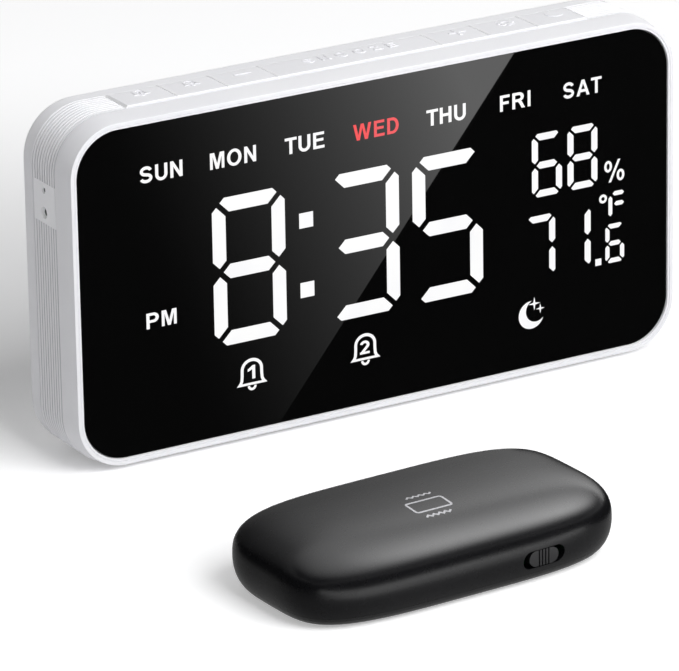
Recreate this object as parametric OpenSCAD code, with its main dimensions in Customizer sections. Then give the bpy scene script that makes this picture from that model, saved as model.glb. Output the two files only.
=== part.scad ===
// Bed shaker alarm clock: a desk clock with a mirror-black digital face and a
// wireless shaker pad. Millimetres, +Z up, the clock looks towards -Y and the
// origin is at the middle of the rubber foot's underside, on the desk.

/* [Clock housing] */
// Width of the whole clock body
body_w = 187; // [160:0.5:220]
// Height of the clock body, without the rubber foot
body_h = 96; // [80:0.5:120]
// Depth of the clock body from rim to back
body_d = 27; // [24:0.5:40]
// Outer corner radius seen from the front
corner_r = 14.7; // [10:0.1:24]
// How far the rubber foot holds the body off the desk
foot_gap = 0.6; // [0.4:0.1:2]
// Wall thickness of the three housing rings
wall = 2.4; // [2:0.1:3]
// Depth of the smooth front band
front_band = 7.7; // [6:0.1:10]
// Depth of the ribbed middle band
rib_band = 12.1; // [10:0.1:16]
// Width of the white rim round the face
rim_w = 2.6; // [2:0.1:5]
// How far the face lies behind the rim's highest line
face_drop = 0.5; // [0.2:0.1:1.5]
// Rounding of the rear edge
rear_round = 3; // [1:0.1:4]

/* [Ribs] */
// Number of grooves between the ribs
groove_n = 8; // [4:1:12]
// Depth of each groove
groove_depth = 0.45; // [0.2:0.05:0.6]
// Width of each groove at the surface
groove_w = 0.75; // [0.4:0.05:1]

/* [Face and digits] */
// Thickness of the black face plate
face_t = 1.8; // [1.2:0.1:3]
// Width of a large digit
big_w = 22; // [18:0.1:26]
// Height of a large digit
big_h = 41.3; // [34:0.1:48]
// Stroke of a large digit
big_t = 4.1; // [3:0.1:5]
// Width of a small digit
small_w = 9.65; // [8:0.05:12]
// Height of a small digit
small_h = 18.1; // [14:0.1:22]
// Stroke of a small digit
small_t = 2; // [1.2:0.05:2.5]

/* [Buttons] */
// Pitch of the six small buttons
key_pitch = 15.1; // [13:0.1:16]
// Width of the long snooze button with one gap
snooze_pitch = 50.4; // [40:0.1:54]
// Gap between neighbouring buttons
key_gap = 0.5; // [0.3:0.1:1]
// How far a button goes down
key_stroke = 0.4; // [0.2:0.05:0.6]
// How far a button's middle stands above the case
key_rise = 0.7; // [0.2:0.05:1.2]
// How much a button's top is crowned from front to back
key_crown = 0.3; // [0.1:0.05:0.5]
// Sideways offset of the button row
key_row_x = -0.95; // [-3:0.05:3]

/* [Shaker pad] */
// Half length of the pad
pad_a = 48.6; // [44:0.1:60]
// Half width of the pad
pad_b = 25.9; // [24:0.1:30]
// Height of the pad's top above the desk
pad_top = 21.9; // [20:0.1:26]
// Squareness of the pad's outline: 2 is an ellipse, larger is squarer
pad_power = 3.96; // [2.2:0.02:5]
// Wall thickness of the pad's shells
pad_wall = 1.8; // [1.4:0.1:2.4]
// Where the pad stands: sideways from the clock's middle
pad_x = -48.5; // [-80:0.5:80]
// Where the pad stands: in front of the clock's middle
pad_y = -114.5; // [-140:0.5:-60]
// How far the pad is turned on the desk, in degrees
pad_turn = 3; // [-10:0.5:10]

/* [Hidden] */
$fn = 96;
e = 0.01;
clear = 0.1;
curve_gap = 0.3;

// Clock heights and depths; v is the distance in front of the middle plane
zc = foot_gap + body_h / 2;
top_z = foot_gap + body_h;
v_front = body_d / 2;
v_back = -body_d / 2;
v_face = v_front - face_drop;
v_rib_f = v_front - front_band;
v_rib_b = v_rib_f - rib_band;
v_mid = (v_rib_f + v_rib_b) / 2;
face_w = body_w - 2 * rim_w;
face_h = body_h - 2 * rim_w;
face_r = corner_r - rim_w;
face_z0 = foot_gap + rim_w;
v_shelf = v_face - face_t;
shelf_t = 1.6;
v_ledge = v_shelf - shelf_t;
shelf_in = 6;
tongue_l = 2.5;
tongue_t = 1.4;
tongue_in = wall + clear;
band_wall = tongue_in + tongue_t;
in_w = body_w - 2 * wall;
seam_ch = 0.25;
rear_t = 2.2;
v_plate = v_back + rear_t;

// Button row
pocket_d = 1.5;
pocket_z = top_z - pocket_d;
web_z = top_z - band_wall;
key_t = pocket_d - key_stroke - 0.05;
key_w = rib_band - 0.3;
key_x0 = key_row_x - 3 * key_pitch - snooze_pitch / 2;
key_x1 = key_row_x + 3 * key_pitch + snooze_pitch / 2;
small_key_x = [for (i = [0:2]) key_x0 + (i + 0.5) * key_pitch];
big_key_x = key_row_x;
right_key_x = [for (i = [0:2]) key_x1 - (2.5 - i) * key_pitch];
all_key_x = concat(small_key_x, [big_key_x], right_key_x);
stem_w = 3;
stem_gap = 0.15;
switch_h = 3.4;
switch_w = 6;
switch_gap = 0.6;
switch_top = web_z - switch_gap;
keyboard_top = switch_top - switch_h;
board_t = 1.6;
post_x = [key_x0 + key_pitch, key_x0 + 3 * key_pitch,
  key_x1 - 3 * key_pitch, key_x1 - key_pitch];

// Display optics
screw_in = 7.9;
post_px = face_w / 2 - screw_in;
post_pz = face_h / 2 - screw_in;
boss_r = 4.5;
box_in_x = 4.9;
box_in_z = 5.4;
flange_in = 2.3;
box_w = face_w - 2 * box_in_x;
box_h = face_h - 2 * box_in_z;
notch_w = 2 * (post_px - boss_r);
notch_h = 2 * (post_pz - boss_r);
flange_w = face_w - 2 * flange_in;
flange_h = face_h - 2 * flange_in;
v_box = 6.2;
v_led_back = v_box - board_t;
seg_clear = 0.05;
digit_z = 25.1;
hour_x = -51.25;
ten_x = -16.25;
unit_x = 9.85;
dot_w = 4.3;
dot_x = -25;
dot_low_z = 33.9;
dot_high_z = 53.4;
humid_x0 = 47.45;
humid_x1 = 58.8;
humid_z = 48.3;
temp_x0 = 45.2;
temp_x1 = 56.6;
temp_z = 25;
point_x = 67.7;
point_w = 2;
tenth_x = 70.95;
tenth_w = 6.15;
tenth_h = 11.3;
tenth_t = 1.4;
unit_t = 1.3;
unit_post_x = 72.6;
unit_z0 = 38.5;
unit_z1 = 44.3;
unit_arm_x0 = 73.3;
unit_arm_x1 = 77.05;
unit_arm_low = 41.95;
unit_arm_high = 44.9;
seg_sink = 0.35;
chip_part = 4.5;
tip_gap = 0.078;
tip_lean = 0.18;
mid_gap = 0.27;

// Screws, posts and inner parts
post_r = 3.2;
shank_r = 1.2;
hole_r = shank_r + curve_gap;
head_r = 2.4;
head_h = 1.6;
v_boss = -8;
clamp_in_x = 23;
clamp_in_z = 7.5;
clamp_x = post_px - clamp_in_x;
clamp_z = post_pz - clamp_in_z;
clamp_r = 2.5;
main_w = 82;
main_h = 40;
main_x = -10;
main_drop = 18;
main_z = zc - main_drop;
v_main_b = -8;
v_main_f = v_main_b + board_t;
standoff_in = 5;
standoff_x = main_w / 2 - standoff_in;
standoff_z = main_h / 2 - standoff_in;
socket_w = 9;
socket_h = 3.2;
socket_x = -36;
socket_z = main_z - 8;
speaker_in = 35;
speaker_x = post_px - speaker_in;
speaker_z = zc;
speaker_r = 14;
speaker_h = 5;
cell_r = 10;
cell_h = 3.2;
cell_x = 14;
cell_z = main_z;
patch_z0 = top_z - 29.3;
patch_z1 = top_z - 18;
mic_z = top_z - 20.15;
mic_r = 1;
eye_z = top_z - 26.4;
eye_r = 1.6;
side_v = -0.45;
side_board_z = (patch_z0 + patch_z1) / 2;
side_board_x = -body_w / 2 + wall + 3.4;
foot_in = 18.5;
foot_w = body_w - 2 * foot_in;
foot_d = 20;
foot_t = 1.2;
foot_rad = 2;

// Pad: shape of the shell, heights from its underside
pad_gap = 0.5;
pad_h = pad_top - pad_gap;
pad_n = 72;
pad_wide_z = 9;
dome_power = 2.8;
dome_q = 80;
pad_in_b = 5;
seam_z = 3;

// Pad contents, from the pad's own middle and underside of its shell
slot_x = 19.25;
slot_z = 7;
slot_w = 12.9;
slot_h = 4.9;
knob_w = 8.8;
knob_h = 4.2;
knob_travel = 1.8;
knob_face_y = -pad_b + 0.5;
pboard_x0 = 4;
pboard_x1 = pad_a - 15.5;
tongue_x0 = pad_a - 20;
tongue_x1 = pad_a - 3.5;
tongue_half = 7;
pboard_y0 = -19.2;
pboard_y1 = -4;
pboard_z = 3.4;
psw_w = 14;
psw_d = 5;
psw_h = 4.6;
motor_r = 6.5;
motor_x0 = 6;
board_gap = 1.5;
motor_x1 = tongue_x0 - board_gap;
motor_y = 6.5;
motor_z = 9.75;
shaft_r = 1;
shaft_end = -5.5;
weight_r = 6.6;
weight_x0 = -4.5;
weight_x1 = 3.5;
pscrew_x = pad_a - 10.5;
pscrew_y = pad_b - 13.6;
cell_gap = 4;
cell2_x0 = cell_gap - pscrew_x;
cell2_x1 = -7.5;
cell2_w = 30;
cell2_t = 7;
charge_y = 0;
pad_foot_w = 60;
pad_foot_d = 24;

// Shapes that several parts share
// A bar with pointed ends; q0 and q1 shift the points sideways, g is an inset
function hexpts(p0, p1, zz, t, g, q0, q1) = [[p0 + g * sqrt(2), zz + q0],
  [p0 + g * (sqrt(2) - 1) + t / 2 - q0, zz + t / 2 - g],
  [p1 - g * (sqrt(2) - 1) - t / 2 + q1, zz + t / 2 - g],
  [p1 - g * sqrt(2), zz + q1],
  [p1 - g * (sqrt(2) - 1) - t / 2 - q1, zz - t / 2 + g],
  [p0 + g * (sqrt(2) - 1) + t / 2 + q0, zz - t / 2 + g]];
function flip(pts) = [for (p = pts) [p[1], p[0]]];

module bar_h(p0, p1, zz, t, g, q0 = 0, q1 = 0) {
  polygon(hexpts(p0, p1, zz, t, g, q0, q1));
}

module bar_v(p0, p1, xx, t, g, q0 = 0, q1 = 0) {
  polygon(flip(hexpts(p0, p1, xx, t, g, q0, q1)));
}

// One seven-segment figure; on = [a, b, c, d, e, f, g], left bottom at x, z
module figure(x, z, w, h, t, on, g) {
  o = tip_gap * t;
  q = tip_lean * t;
  m = mid_gap * t;
  c = t / 2;
  if (on[0]) bar_h(x + c + o, x + w - c - o, z + h - c, t, g, q, q);
  if (on[3]) bar_h(x + c + o, x + w - c - o, z + c, t, g, -q, -q);
  if (on[6]) bar_h(x + c + m, x + w - c - m, z + h / 2, t, g);
  if (on[1]) bar_v(z + h / 2 + m, z + h - c - o, x + w - c, t, g, 0, q);
  if (on[5]) bar_v(z + h / 2 + m, z + h - c - o, x + c, t, g, 0, -q);
  if (on[2]) bar_v(z + c + o, z + h / 2 - m, x + w - c, t, g, q, 0);
  if (on[4]) bar_v(z + c + o, z + h / 2 - m, x + c, t, g, -q, 0);
}

module tile(x0, x1, z0, z1, g) {
  translate([x0 + g, z0 + g]) square([x1 - x0 - 2 * g, z1 - z0 - 2 * g]);
}

module hour_2d(g) {
  figure(hour_x, digit_z, big_w, big_h, big_t, [1, 1, 1, 1, 1, 1, 1], g);
}

module ten_2d(g) {
  figure(ten_x, digit_z, big_w, big_h, big_t, [1, 1, 1, 1, 0, 0, 1], g);
}

module unit_2d(g) {
  figure(unit_x, digit_z, big_w, big_h, big_t, [1, 0, 1, 1, 0, 1, 1], g);
}

module colon_2d(g) {
  tile(dot_x, dot_x + dot_w, dot_high_z, dot_high_z + dot_w, g);
  tile(dot_x, dot_x + dot_w, dot_low_z, dot_low_z + dot_w, g);
}

module humid_2d(g) {
  figure(humid_x0, humid_z, small_w, small_h, small_t, [1, 0, 1, 1, 1, 1, 1], g);
  figure(humid_x1, humid_z, small_w, small_h, small_t, [1, 1, 1, 1, 1, 1, 1], g);
}

module temp_2d(g) {
  figure(temp_x0, temp_z, small_w, small_h, small_t, [1, 1, 1, 0, 0, 0, 0], g);
  figure(temp_x1, temp_z, small_w, small_h, small_t, [0, 1, 1, 0, 0, 0, 0], g);
  tile(point_x, point_x + point_w, temp_z, temp_z + point_w, g);
  figure(tenth_x, temp_z, tenth_w, tenth_h, tenth_t, [1, 0, 1, 1, 1, 1, 1], g);
  bar_v(unit_z0, unit_z1, unit_post_x, unit_t, g);
  bar_h(unit_arm_x0, unit_arm_x1, unit_arm_high, unit_t, g);
  bar_h(unit_arm_x0 + 0.5, unit_arm_x1, unit_arm_low, unit_t, g);
}

module rounded(w, h, r) {
  union() {
    square([w - 2 * r, h], center = true);
    square([w, h - 2 * r], center = true);
    for (i = [-1, 1]) {
      for (j = [-1, 1]) {
        translate([i * (w / 2 - r), j * (h / 2 - r)]) circle(r);
      }
    }
  }
}

// A slab facing the front, from depth v0 to v1, drawn round the clock's middle
module slab(v0, v1) {
  translate([0, -v0, zc]) rotate([90, 0, 0]) linear_extrude(v1 - v0) children();
}

// The same, drawn from the face plate's lower edge
module face_slab(v0, v1) {
  translate([0, -v0, face_z0]) rotate([90, 0, 0]) linear_extrude(v1 - v0) children();
}

// Carries a profile round the clock; profile x is the distance from the corner
// centre and profile y is v
module round_clock() {
  sx = body_w / 2 - corner_r;
  sz = body_h / 2 - corner_r;
  translate([0, 0, zc]) rotate([90, 0, 0]) union() {
    for (k = [0, 180]) {
      rotate([0, 0, k]) {
        translate([sx, 0, 0]) rotate([90, 0, 0])
          linear_extrude(2 * sz, center = true) children();
        translate([0, sz, 0]) rotate([0, 0, 90]) rotate([90, 0, 0])
          linear_extrude(2 * sx, center = true) children();
        translate([sx, sz, 0]) rotate_extrude(angle = 90) children();
        translate([-sx, sz, 0]) rotate([0, 0, 90]) rotate_extrude(angle = 90) children();
      }
    }
  }
}

module post(x, z, v0, v1, r) {
  translate([x, -v0, z]) rotate([90, 0, 0]) cylinder(h = v1 - v0, r = r);
}

module box_v(x0, x1, v0, v1, z0, z1) {
  translate([x0, -v1, z0]) cube([x1 - x0, v1 - v0, z1 - z0]);
}

module corners(px, pz) {
  for (i = [-1, 1]) {
    for (j = [-1, 1]) {
      translate([i * px, 0, zc + j * pz]) children();
    }
  }
}

module foot_recess(v0, v1) {
  box_v(-foot_w / 2 - clear, foot_w / 2 + clear, v0, v1, foot_gap - e, foot_t);
}

// The clock housing
module front_frame() {
  color([0.94, 0.94, 0.93])
  difference() {
    union() {
      round_clock() difference() {
        polygon([[corner_r - seam_ch, v_rib_f], [corner_r, v_rib_f + seam_ch],
          [corner_r, v_front - 2.2], [corner_r - 0.3, v_front - 1],
          [corner_r - 0.65, v_front - 0.3], [corner_r - 0.95, v_front],
          [corner_r - 1.55, v_front], [corner_r - 1.7, v_front - 0.3],
          [corner_r - 1.9, v_front - 0.12],
          [corner_r - rim_w, v_face], [corner_r - rim_w, v_shelf],
          [corner_r - shelf_in, v_shelf], [corner_r - shelf_in, v_ledge],
          [corner_r - wall, v_ledge], [corner_r - wall, v_rib_f]]);
      }
      corners(post_px, post_pz) post(0, 0, v_boss + clear, v_shelf - e, post_r);
    }
    corners(post_px, post_pz) post(0, 0, v_boss - 1, v_ledge - 2, hole_r);
    foot_recess(-foot_d / 2 - clear, foot_d / 2 + clear);
  }
}

module rib_profile() {
  pitch = rib_band / (groove_n + 1);
  gw = groove_w / 2;
  outer = [for (i = [1:groove_n]) for (k = [-1, 0, 1])
    [corner_r - (k == 0 ? groove_depth : 0), v_rib_b + i * pitch + k * gw]];
  inner = corner_r - wall;
  polygon(concat([[corner_r - seam_ch, v_rib_b], [corner_r, v_rib_b + seam_ch]], outer,
    [[corner_r, v_rib_f - seam_ch], [corner_r - seam_ch, v_rib_f],
    [corner_r - tongue_in, v_rib_f], [corner_r - tongue_in, v_rib_f + tongue_l],
    [corner_r - tongue_in - tongue_t, v_rib_f + tongue_l],
    [corner_r - tongue_in - tongue_t, v_rib_b - tongue_l],
    [corner_r - tongue_in, v_rib_b - tongue_l], [corner_r - tongue_in, v_rib_b]]));
}

module ribbed_band() {
  color([0.93, 0.93, 0.93])
  difference() {
    union() {
      round_clock() rib_profile();
      // plain patch on the left side
      box_v(-body_w / 2, -body_w / 2 + wall, v_rib_b + 0.9, v_rib_f - 0.9, patch_z0, patch_z1);
      // posts that carry the button board
      for (x = post_x) {
        translate([x, -v_mid, keyboard_top]) cylinder(h = web_z - keyboard_top + e, r = 2);
      }
      // posts that carry the sensor board
      for (s = [-1, 1]) {
        translate([-body_w / 2 + wall - e, -side_v, side_board_z + s * 7.2]) rotate([0, 90, 0])
          cylinder(h = side_board_x + body_w / 2 - wall + e, r = 1.2);
      }
    }
    // trough for the seven buttons, open to the front and to the back
    box_v(key_x0 - key_gap / 2, key_x1 + key_gap / 2, v_rib_b - e, v_rib_f + e, pocket_z, top_z + 1);
    for (x = all_key_x) {
      translate([x - stem_w / 2 - stem_gap, -v_mid - stem_w / 2 - stem_gap, web_z - 3])
        cube([stem_w + 2 * stem_gap, stem_w + 2 * stem_gap, 6]);
    }
    for (s = [-1, 1]) {
      translate([big_key_x + s * 17 - 1.2, -v_mid - 1.2, web_z - 3]) cube([2.4, 2.4, 6]);
    }
    // pilot holes for the button board's screws
    for (x = post_x) {
      translate([x, -v_mid, keyboard_top - 1]) cylinder(h = 4, r = 1.1);
    }
    // two side openings
    translate([-body_w / 2 - 1, -side_v, mic_z]) rotate([0, 90, 0]) cylinder(h = 6, r = mic_r);
    translate([-body_w / 2 - 1, -side_v, eye_z]) rotate([0, 90, 0]) cylinder(h = 6, r = eye_r);
    foot_recess(-foot_d / 2 - clear, foot_d / 2 + clear);
  }
}

module rear_cover() {
  color([0.93, 0.93, 0.92])
  difference() {
    union() {
      round_clock() union() {
        difference() {
          translate([corner_r - 7, v_back]) square([7, v_rib_b - v_back]);
          translate([corner_r - rear_round, v_back - 1]) square([rear_round + 1, rear_round + 1]);
          translate([corner_r - 8, v_plate]) square([8 - wall, 10]);
          translate([corner_r - seam_ch, v_rib_b - seam_ch]) rotate([0, 0, -45]) square([1, 1]);
        }
        intersection() {
          translate([corner_r - rear_round, v_back + rear_round]) circle(rear_round);
          translate([corner_r - rear_round, v_back]) square([rear_round, rear_round]);
        }
      }
      slab(v_back, v_plate) rounded(body_w - 8, body_h - 8, corner_r - 4);
      corners(post_px, post_pz) post(0, 0, v_plate - e, v_boss, boss_r);
      corners(clamp_x, clamp_z) post(0, 0, v_plate - e, v_led_back, clamp_r);
      for (i = [-1, 1]) {
        for (j = [-1, 1]) {
          post(main_x + i * standoff_x, main_z + j * standoff_z, v_plate - e, v_main_b, 2.8);
        }
      }
      // ring that locates the speaker
      post(speaker_x, speaker_z, v_plate - e, v_plate + 4, speaker_r + 1.8);
    }
    corners(post_px, post_pz) post(0, 0, v_back - 1, v_back + 2.4, head_r + curve_gap);
    corners(post_px, post_pz) post(0, 0, v_back, v_boss + 1, hole_r);
    for (i = [-1, 1]) {
      for (j = [-1, 1]) {
        post(main_x + i * standoff_x, main_z + j * standoff_z, v_plate, v_main_b + 1, 1.1);
      }
    }
    post(speaker_x, speaker_z, v_plate, v_plate + 5, speaker_r + curve_gap);
    // speaker grille
    post(speaker_x, speaker_z, v_back - 1, v_plate + 1, 0.9);
    for (k = [0:5]) {
      rotate_about(speaker_x, speaker_z, 60 * k) post(4.2, 0, v_back - 1, v_plate + 1, 0.9);
    }
    for (k = [0:11]) {
      rotate_about(speaker_x, speaker_z, 30 * k) post(8.4, 0, v_back - 1, v_plate + 1, 0.9);
    }
    // power inlet
    slot_v(socket_x, socket_z, socket_w + 0.6, socket_h + 0.6, v_back - 1, v_plate + 1);
    foot_recess(-foot_d / 2 - clear, foot_d / 2 + clear);
  }
}

module rotate_about(x, z, a) {
  translate([x, 0, z]) rotate([0, a, 0]) children();
}

// A stadium-shaped bar along the depth
module slot_v(x, z, w, h, v0, v1) {
  hull_w = w - h;
  box_v(x - hull_w / 2, x + hull_w / 2, v0, v1, z - h / 2, z + h / 2);
  post(x - hull_w / 2, z, v0, v1, h / 2);
  post(x + hull_w / 2, z, v0, v1, h / 2);
}

// The display
module display_face() {
  color([0.02, 0.02, 0.02])
  face_slab(v_shelf, v_face) difference() {
    translate([0, face_h / 2]) rounded(face_w - 2 * clear, face_h - 2 * clear, face_r + 0.4);
    hour_2d(0);
    ten_2d(0);
    unit_2d(0);
    colon_2d(0);
    humid_2d(0);
    temp_2d(0);
  }
}

module hour_segments() {
  color([1, 1, 1]) face_slab(v_shelf, v_face) hour_2d(seg_clear);
}

module ten_minute_segments() {
  color([1, 1, 1]) face_slab(v_shelf, v_face) ten_2d(seg_clear);
}

module minute_segments() {
  color([1, 1, 1]) face_slab(v_shelf, v_face) unit_2d(seg_clear);
}

module colon_dots() {
  color([1, 1, 1]) face_slab(v_shelf, v_face) colon_2d(seg_clear);
}

module humidity_segments() {
  color([1, 1, 1]) face_slab(v_shelf, v_face) humid_2d(seg_clear);
}

module temperature_segments() {
  color([1, 1, 1]) face_slab(v_shelf, v_face) temp_2d(seg_clear);
}

// White moulded box with one light well behind every lit segment
module light_box() {
  color([0.9, 0.9, 0.88])
  difference() {
    union() {
      slab(v_ledge, v_shelf) box_outline(box_w, box_h);
      slab(v_box, v_ledge) box_outline(flange_w, flange_h);
    }
    face_slab(v_box - 1, v_shelf + 1) wells_2d();
  }
}

module box_outline(w, h) {
  square([notch_w, h], center = true);
  square([w, notch_h], center = true);
}

module wells_2d() {
  hour_2d(seg_sink);
  ten_2d(seg_sink);
  unit_2d(seg_sink);
  colon_2d(seg_sink);
  humid_2d(seg_sink);
  temp_2d(seg_sink * 0.7);
}

module led_board() {
  color([0.1, 0.35, 0.18]) slab(v_led_back, v_box) box_outline(box_w, box_h);
}

// Light-emitting chips: two under each large bar, one under each small bar
module chip_pair(x, z, dx, dz) {
  for (s = [-1, 1]) {
    translate([x + s * dx, z + s * dz]) square([1.6, 1.6], center = true);
  }
}

module chips_big(x, on) {
  c = big_t / 2;
  z = digit_z;
  q = chip_part;
  if (on[0]) chip_pair(x + big_w / 2, z + big_h - c, q, 0);
  if (on[3]) chip_pair(x + big_w / 2, z + c, q, 0);
  if (on[6]) chip_pair(x + big_w / 2, z + big_h / 2, q, 0);
  if (on[1]) chip_pair(x + big_w - c, z + big_h * 0.75 - 0.4, 0, q);
  if (on[5]) chip_pair(x + c, z + big_h * 0.75 - 0.4, 0, q);
  if (on[2]) chip_pair(x + big_w - c, z + big_h * 0.25 + 0.4, 0, q);
  if (on[4]) chip_pair(x + c, z + big_h * 0.25 + 0.4, 0, q);
}

module led_chips() {
  color([0.95, 0.9, 0.6])
  face_slab(v_box, v_box + 0.7) union() {
    chips_big(hour_x, [1, 1, 1, 1, 1, 1, 1]);
    chips_big(ten_x, [1, 1, 1, 1, 0, 0, 1]);
    chips_big(unit_x, [1, 0, 1, 1, 0, 1, 1]);
    chip_pair(dot_x + dot_w / 2, (dot_low_z + dot_high_z + dot_w) / 2, 0,
      (dot_high_z - dot_low_z) / 2);
  }
}

// The electronics in the clock
module main_board() {
  color([0.1, 0.35, 0.18])
  difference() {
    box_v(main_x - main_w / 2, main_x + main_w / 2, v_main_b, v_main_f,
      main_z - main_h / 2, main_z + main_h / 2);
    for (i = [-1, 1]) {
      for (j = [-1, 1]) {
        post(main_x + i * standoff_x, main_z + j * standoff_z, v_main_b - 1, v_main_f + 1, 1.1);
      }
    }
  }
}

module board_chips() {
  color([0.12, 0.12, 0.13]) {
    box_v(main_x - 24, main_x - 12, v_main_f, v_main_f + 1.2, main_z - 6, main_z + 6);
    box_v(main_x - 6, main_x + 1, v_main_f, v_main_f + 1.2, main_z - 14, main_z - 9);
    post(main_x - 28, main_z + 12, v_main_f, v_main_f + 6, 2.5);
    post(main_x + 8, main_z - 14, v_main_f, v_main_f + 6, 2.5);
  }
}

module radio_module() {
  color([0.75, 0.76, 0.78])
  box_v(main_x - 12, main_x + 6, v_main_f, v_main_f + 2.2, main_z + 6, main_z + 18);
}

module cell_holder() {
  color([0.1, 0.1, 0.11])
  difference() {
    post(cell_x, cell_z, v_main_f, v_main_f + 4.6, cell_r + 1.6);
    post(cell_x, cell_z, v_main_f + 0.8, v_main_f + 6, cell_r + curve_gap);
    box_v(cell_x - 4, cell_x + 4, v_main_f + 0.8, v_main_f + 6, cell_z + 6, cell_z + 20);
  }
}

module coin_cell() {
  color([0.8, 0.8, 0.82])
  union() {
    post(cell_x, cell_z, v_main_f + 0.8, v_main_f + 0.8 + cell_h - 0.6, cell_r);
    post(cell_x, cell_z, v_main_f + 0.8, v_main_f + 0.8 + cell_h, cell_r - 1.2);
  }
}

module power_socket() {
  color([0.78, 0.78, 0.8])
  difference() {
    slot_v(socket_x, socket_z, socket_w, socket_h, v_back + 0.2, v_main_b);
    slot_v(socket_x, socket_z, socket_w - 0.6, socket_h - 0.6, v_back - 1, v_main_b - 1);
  }
}

module speaker() {
  color([0.2, 0.2, 0.21])
  union() {
    post(speaker_x, speaker_z, v_plate, v_plate + 2.4, speaker_r);
    post(speaker_x, speaker_z, v_plate + 2.4, v_plate + speaker_h, speaker_r * 0.62);
  }
}

module button_board() {
  color([0.1, 0.35, 0.18])
  difference() {
    translate([key_x0 + 3, -v_mid - 4, keyboard_top - board_t])
      cube([key_x1 - key_x0 - 6, 8, board_t]);
    for (x = post_x) {
      translate([x, -v_mid, keyboard_top - 4]) cylinder(h = 6, r = 1.1);
    }
  }
}

module button_switches() {
  color([0.15, 0.15, 0.16])
  for (x = all_key_x) {
    difference() {
      translate([x - switch_w / 2, -v_mid - switch_w / 2, keyboard_top])
        cube([switch_w, switch_w, switch_h]);
      translate([x - stem_w / 2 - stem_gap, -v_mid - stem_w / 2 - stem_gap, switch_top - 1.6])
        cube([stem_w + 2 * stem_gap, stem_w + 2 * stem_gap, 3]);
    }
  }
}

module sensor_board() {
  color([0.1, 0.35, 0.18])
  translate([side_board_x, -side_v - 3.5, side_board_z - 9]) cube([1.2, 7, 18]);
}

module side_sensors() {
  color([0.25, 0.25, 0.27]) {
    translate([-body_w / 2 + wall + 0.4, -side_v, eye_z]) rotate([0, 90, 0])
      cylinder(h = 3, r = 1.3);
    translate([-body_w / 2 + wall + 0.4, -side_v, mic_z]) rotate([0, 90, 0])
      cylinder(h = 3, r = 0.7);
  }
}

module screw_v(x, z, v_seat, dir, l, r, hr, hh) {
  union() {
    post(x, z, dir > 0 ? v_seat - hh : v_seat, dir > 0 ? v_seat : v_seat + hh, hr);
    post(x, z, dir > 0 ? v_seat - e : v_seat - l, dir > 0 ? v_seat + l : v_seat + e, r);
  }
}

module case_screws() {
  color([0.6, 0.6, 0.62])
  corners(post_px, post_pz) difference() {
    screw_v(0, 0, v_back + 2.4, 1, 12, shank_r, head_r, head_h);
    box_v(-1.6, 1.6, v_back - 1, v_back + 1.5, -0.3, 0.3);
    box_v(-0.3, 0.3, v_back - 1, v_back + 1.5, -1.6, 1.6);
  }
}

module board_screws() {
  color([0.6, 0.6, 0.62]) {
    for (i = [-1, 1]) {
      for (j = [-1, 1]) {
        screw_v(main_x + i * standoff_x, main_z + j * standoff_z, v_main_f, -1, 4, 0.8, 1.8, 1.2);
      }
    }
    for (x = post_x) {
      translate([x, -v_mid, keyboard_top - board_t - 1.1]) union() {
        cylinder(h = 1.1, r = 1.8);
        cylinder(h = 5, r = 0.8);
      }
    }
  }
}

module clock_foot() {
  color([0.12, 0.12, 0.12])
  linear_extrude(foot_t) rounded(foot_w, foot_d, foot_rad);
}

// The buttons
module key(x, w) {
  crown_r = (key_w * key_w / 4 + key_crown * key_crown) / (2 * key_crown);
  key_top = top_z + key_rise;
  color([0.93, 0.93, 0.93])
  union() {
    intersection() {
      translate([x - w / 2, -v_mid - key_w / 2, top_z - key_t]) cube([w, key_w, key_t + key_rise]);
      translate([x - w / 2 - 1, -v_mid, key_top - crown_r]) rotate([0, 90, 0])
        cylinder(h = w + 2, r = crown_r, $fn = 360);
    }
    translate([x - stem_w / 2, -v_mid - stem_w / 2, switch_top - 1.1])
      cube([stem_w, stem_w, top_z - key_t - switch_top + 1.1 + 0.2]);
  }
}

module small_key(x) {
  key(x, key_pitch - key_gap);
}

module alarm_one_button() {
  small_key(small_key_x[0]);
}

module alarm_two_button() {
  small_key(small_key_x[1]);
}

module minus_button() {
  small_key(small_key_x[2]);
}

module snooze_button() {
  union() {
    key(big_key_x, snooze_pitch - key_gap);
    color([0.93, 0.93, 0.93])
    for (s = [-1, 1]) {
      translate([big_key_x + s * 17 - 1, -v_mid - 1, web_z - 1])
        cube([2, 2, top_z - key_t - web_z + 1.2]);
    }
  }
}

module plus_button() {
  small_key(right_key_x[0]);
}

module settings_button() {
  small_key(right_key_x[1]);
}

module dimmer_button() {
  small_key(right_key_x[2]);
}

// The shaker pad
// Outline and section above the widest line are super-ellipses; below that line
// the edge is part of an ellipse
function spow(v, p) = sign(v) * pow(abs(v), p);
function pad_ring(z, ins) = [for (i = [0:pad_n - 1])
  [(pad_a - ins) * spow(cos(360 * i / pad_n), 2 / pad_power),
  (pad_b - ins) * spow(sin(360 * i / pad_n), 2 / pad_power), z]];
function top_z_at(q, t) = pad_wide_z
  + (pad_h - t - pad_wide_z) * spow(sin(q), 2 / dome_power) / spow(sin(dome_q), 2 / dome_power);
function top_ins(q, t) = t + (pad_b - t) * (1 - spow(cos(q), 2 / dome_power));
function low_ins(z, t) = t + pad_in_b * (1 - sqrt(1 - pow(1 - z / pad_wide_z, 2)));
function upper_rings(qs, t) = [for (q = qs) pad_ring(top_z_at(q, t), top_ins(q, t))];
function lower_rings(zs, t) = [for (z = zs) pad_ring(z, low_ins(z, t))];

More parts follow.
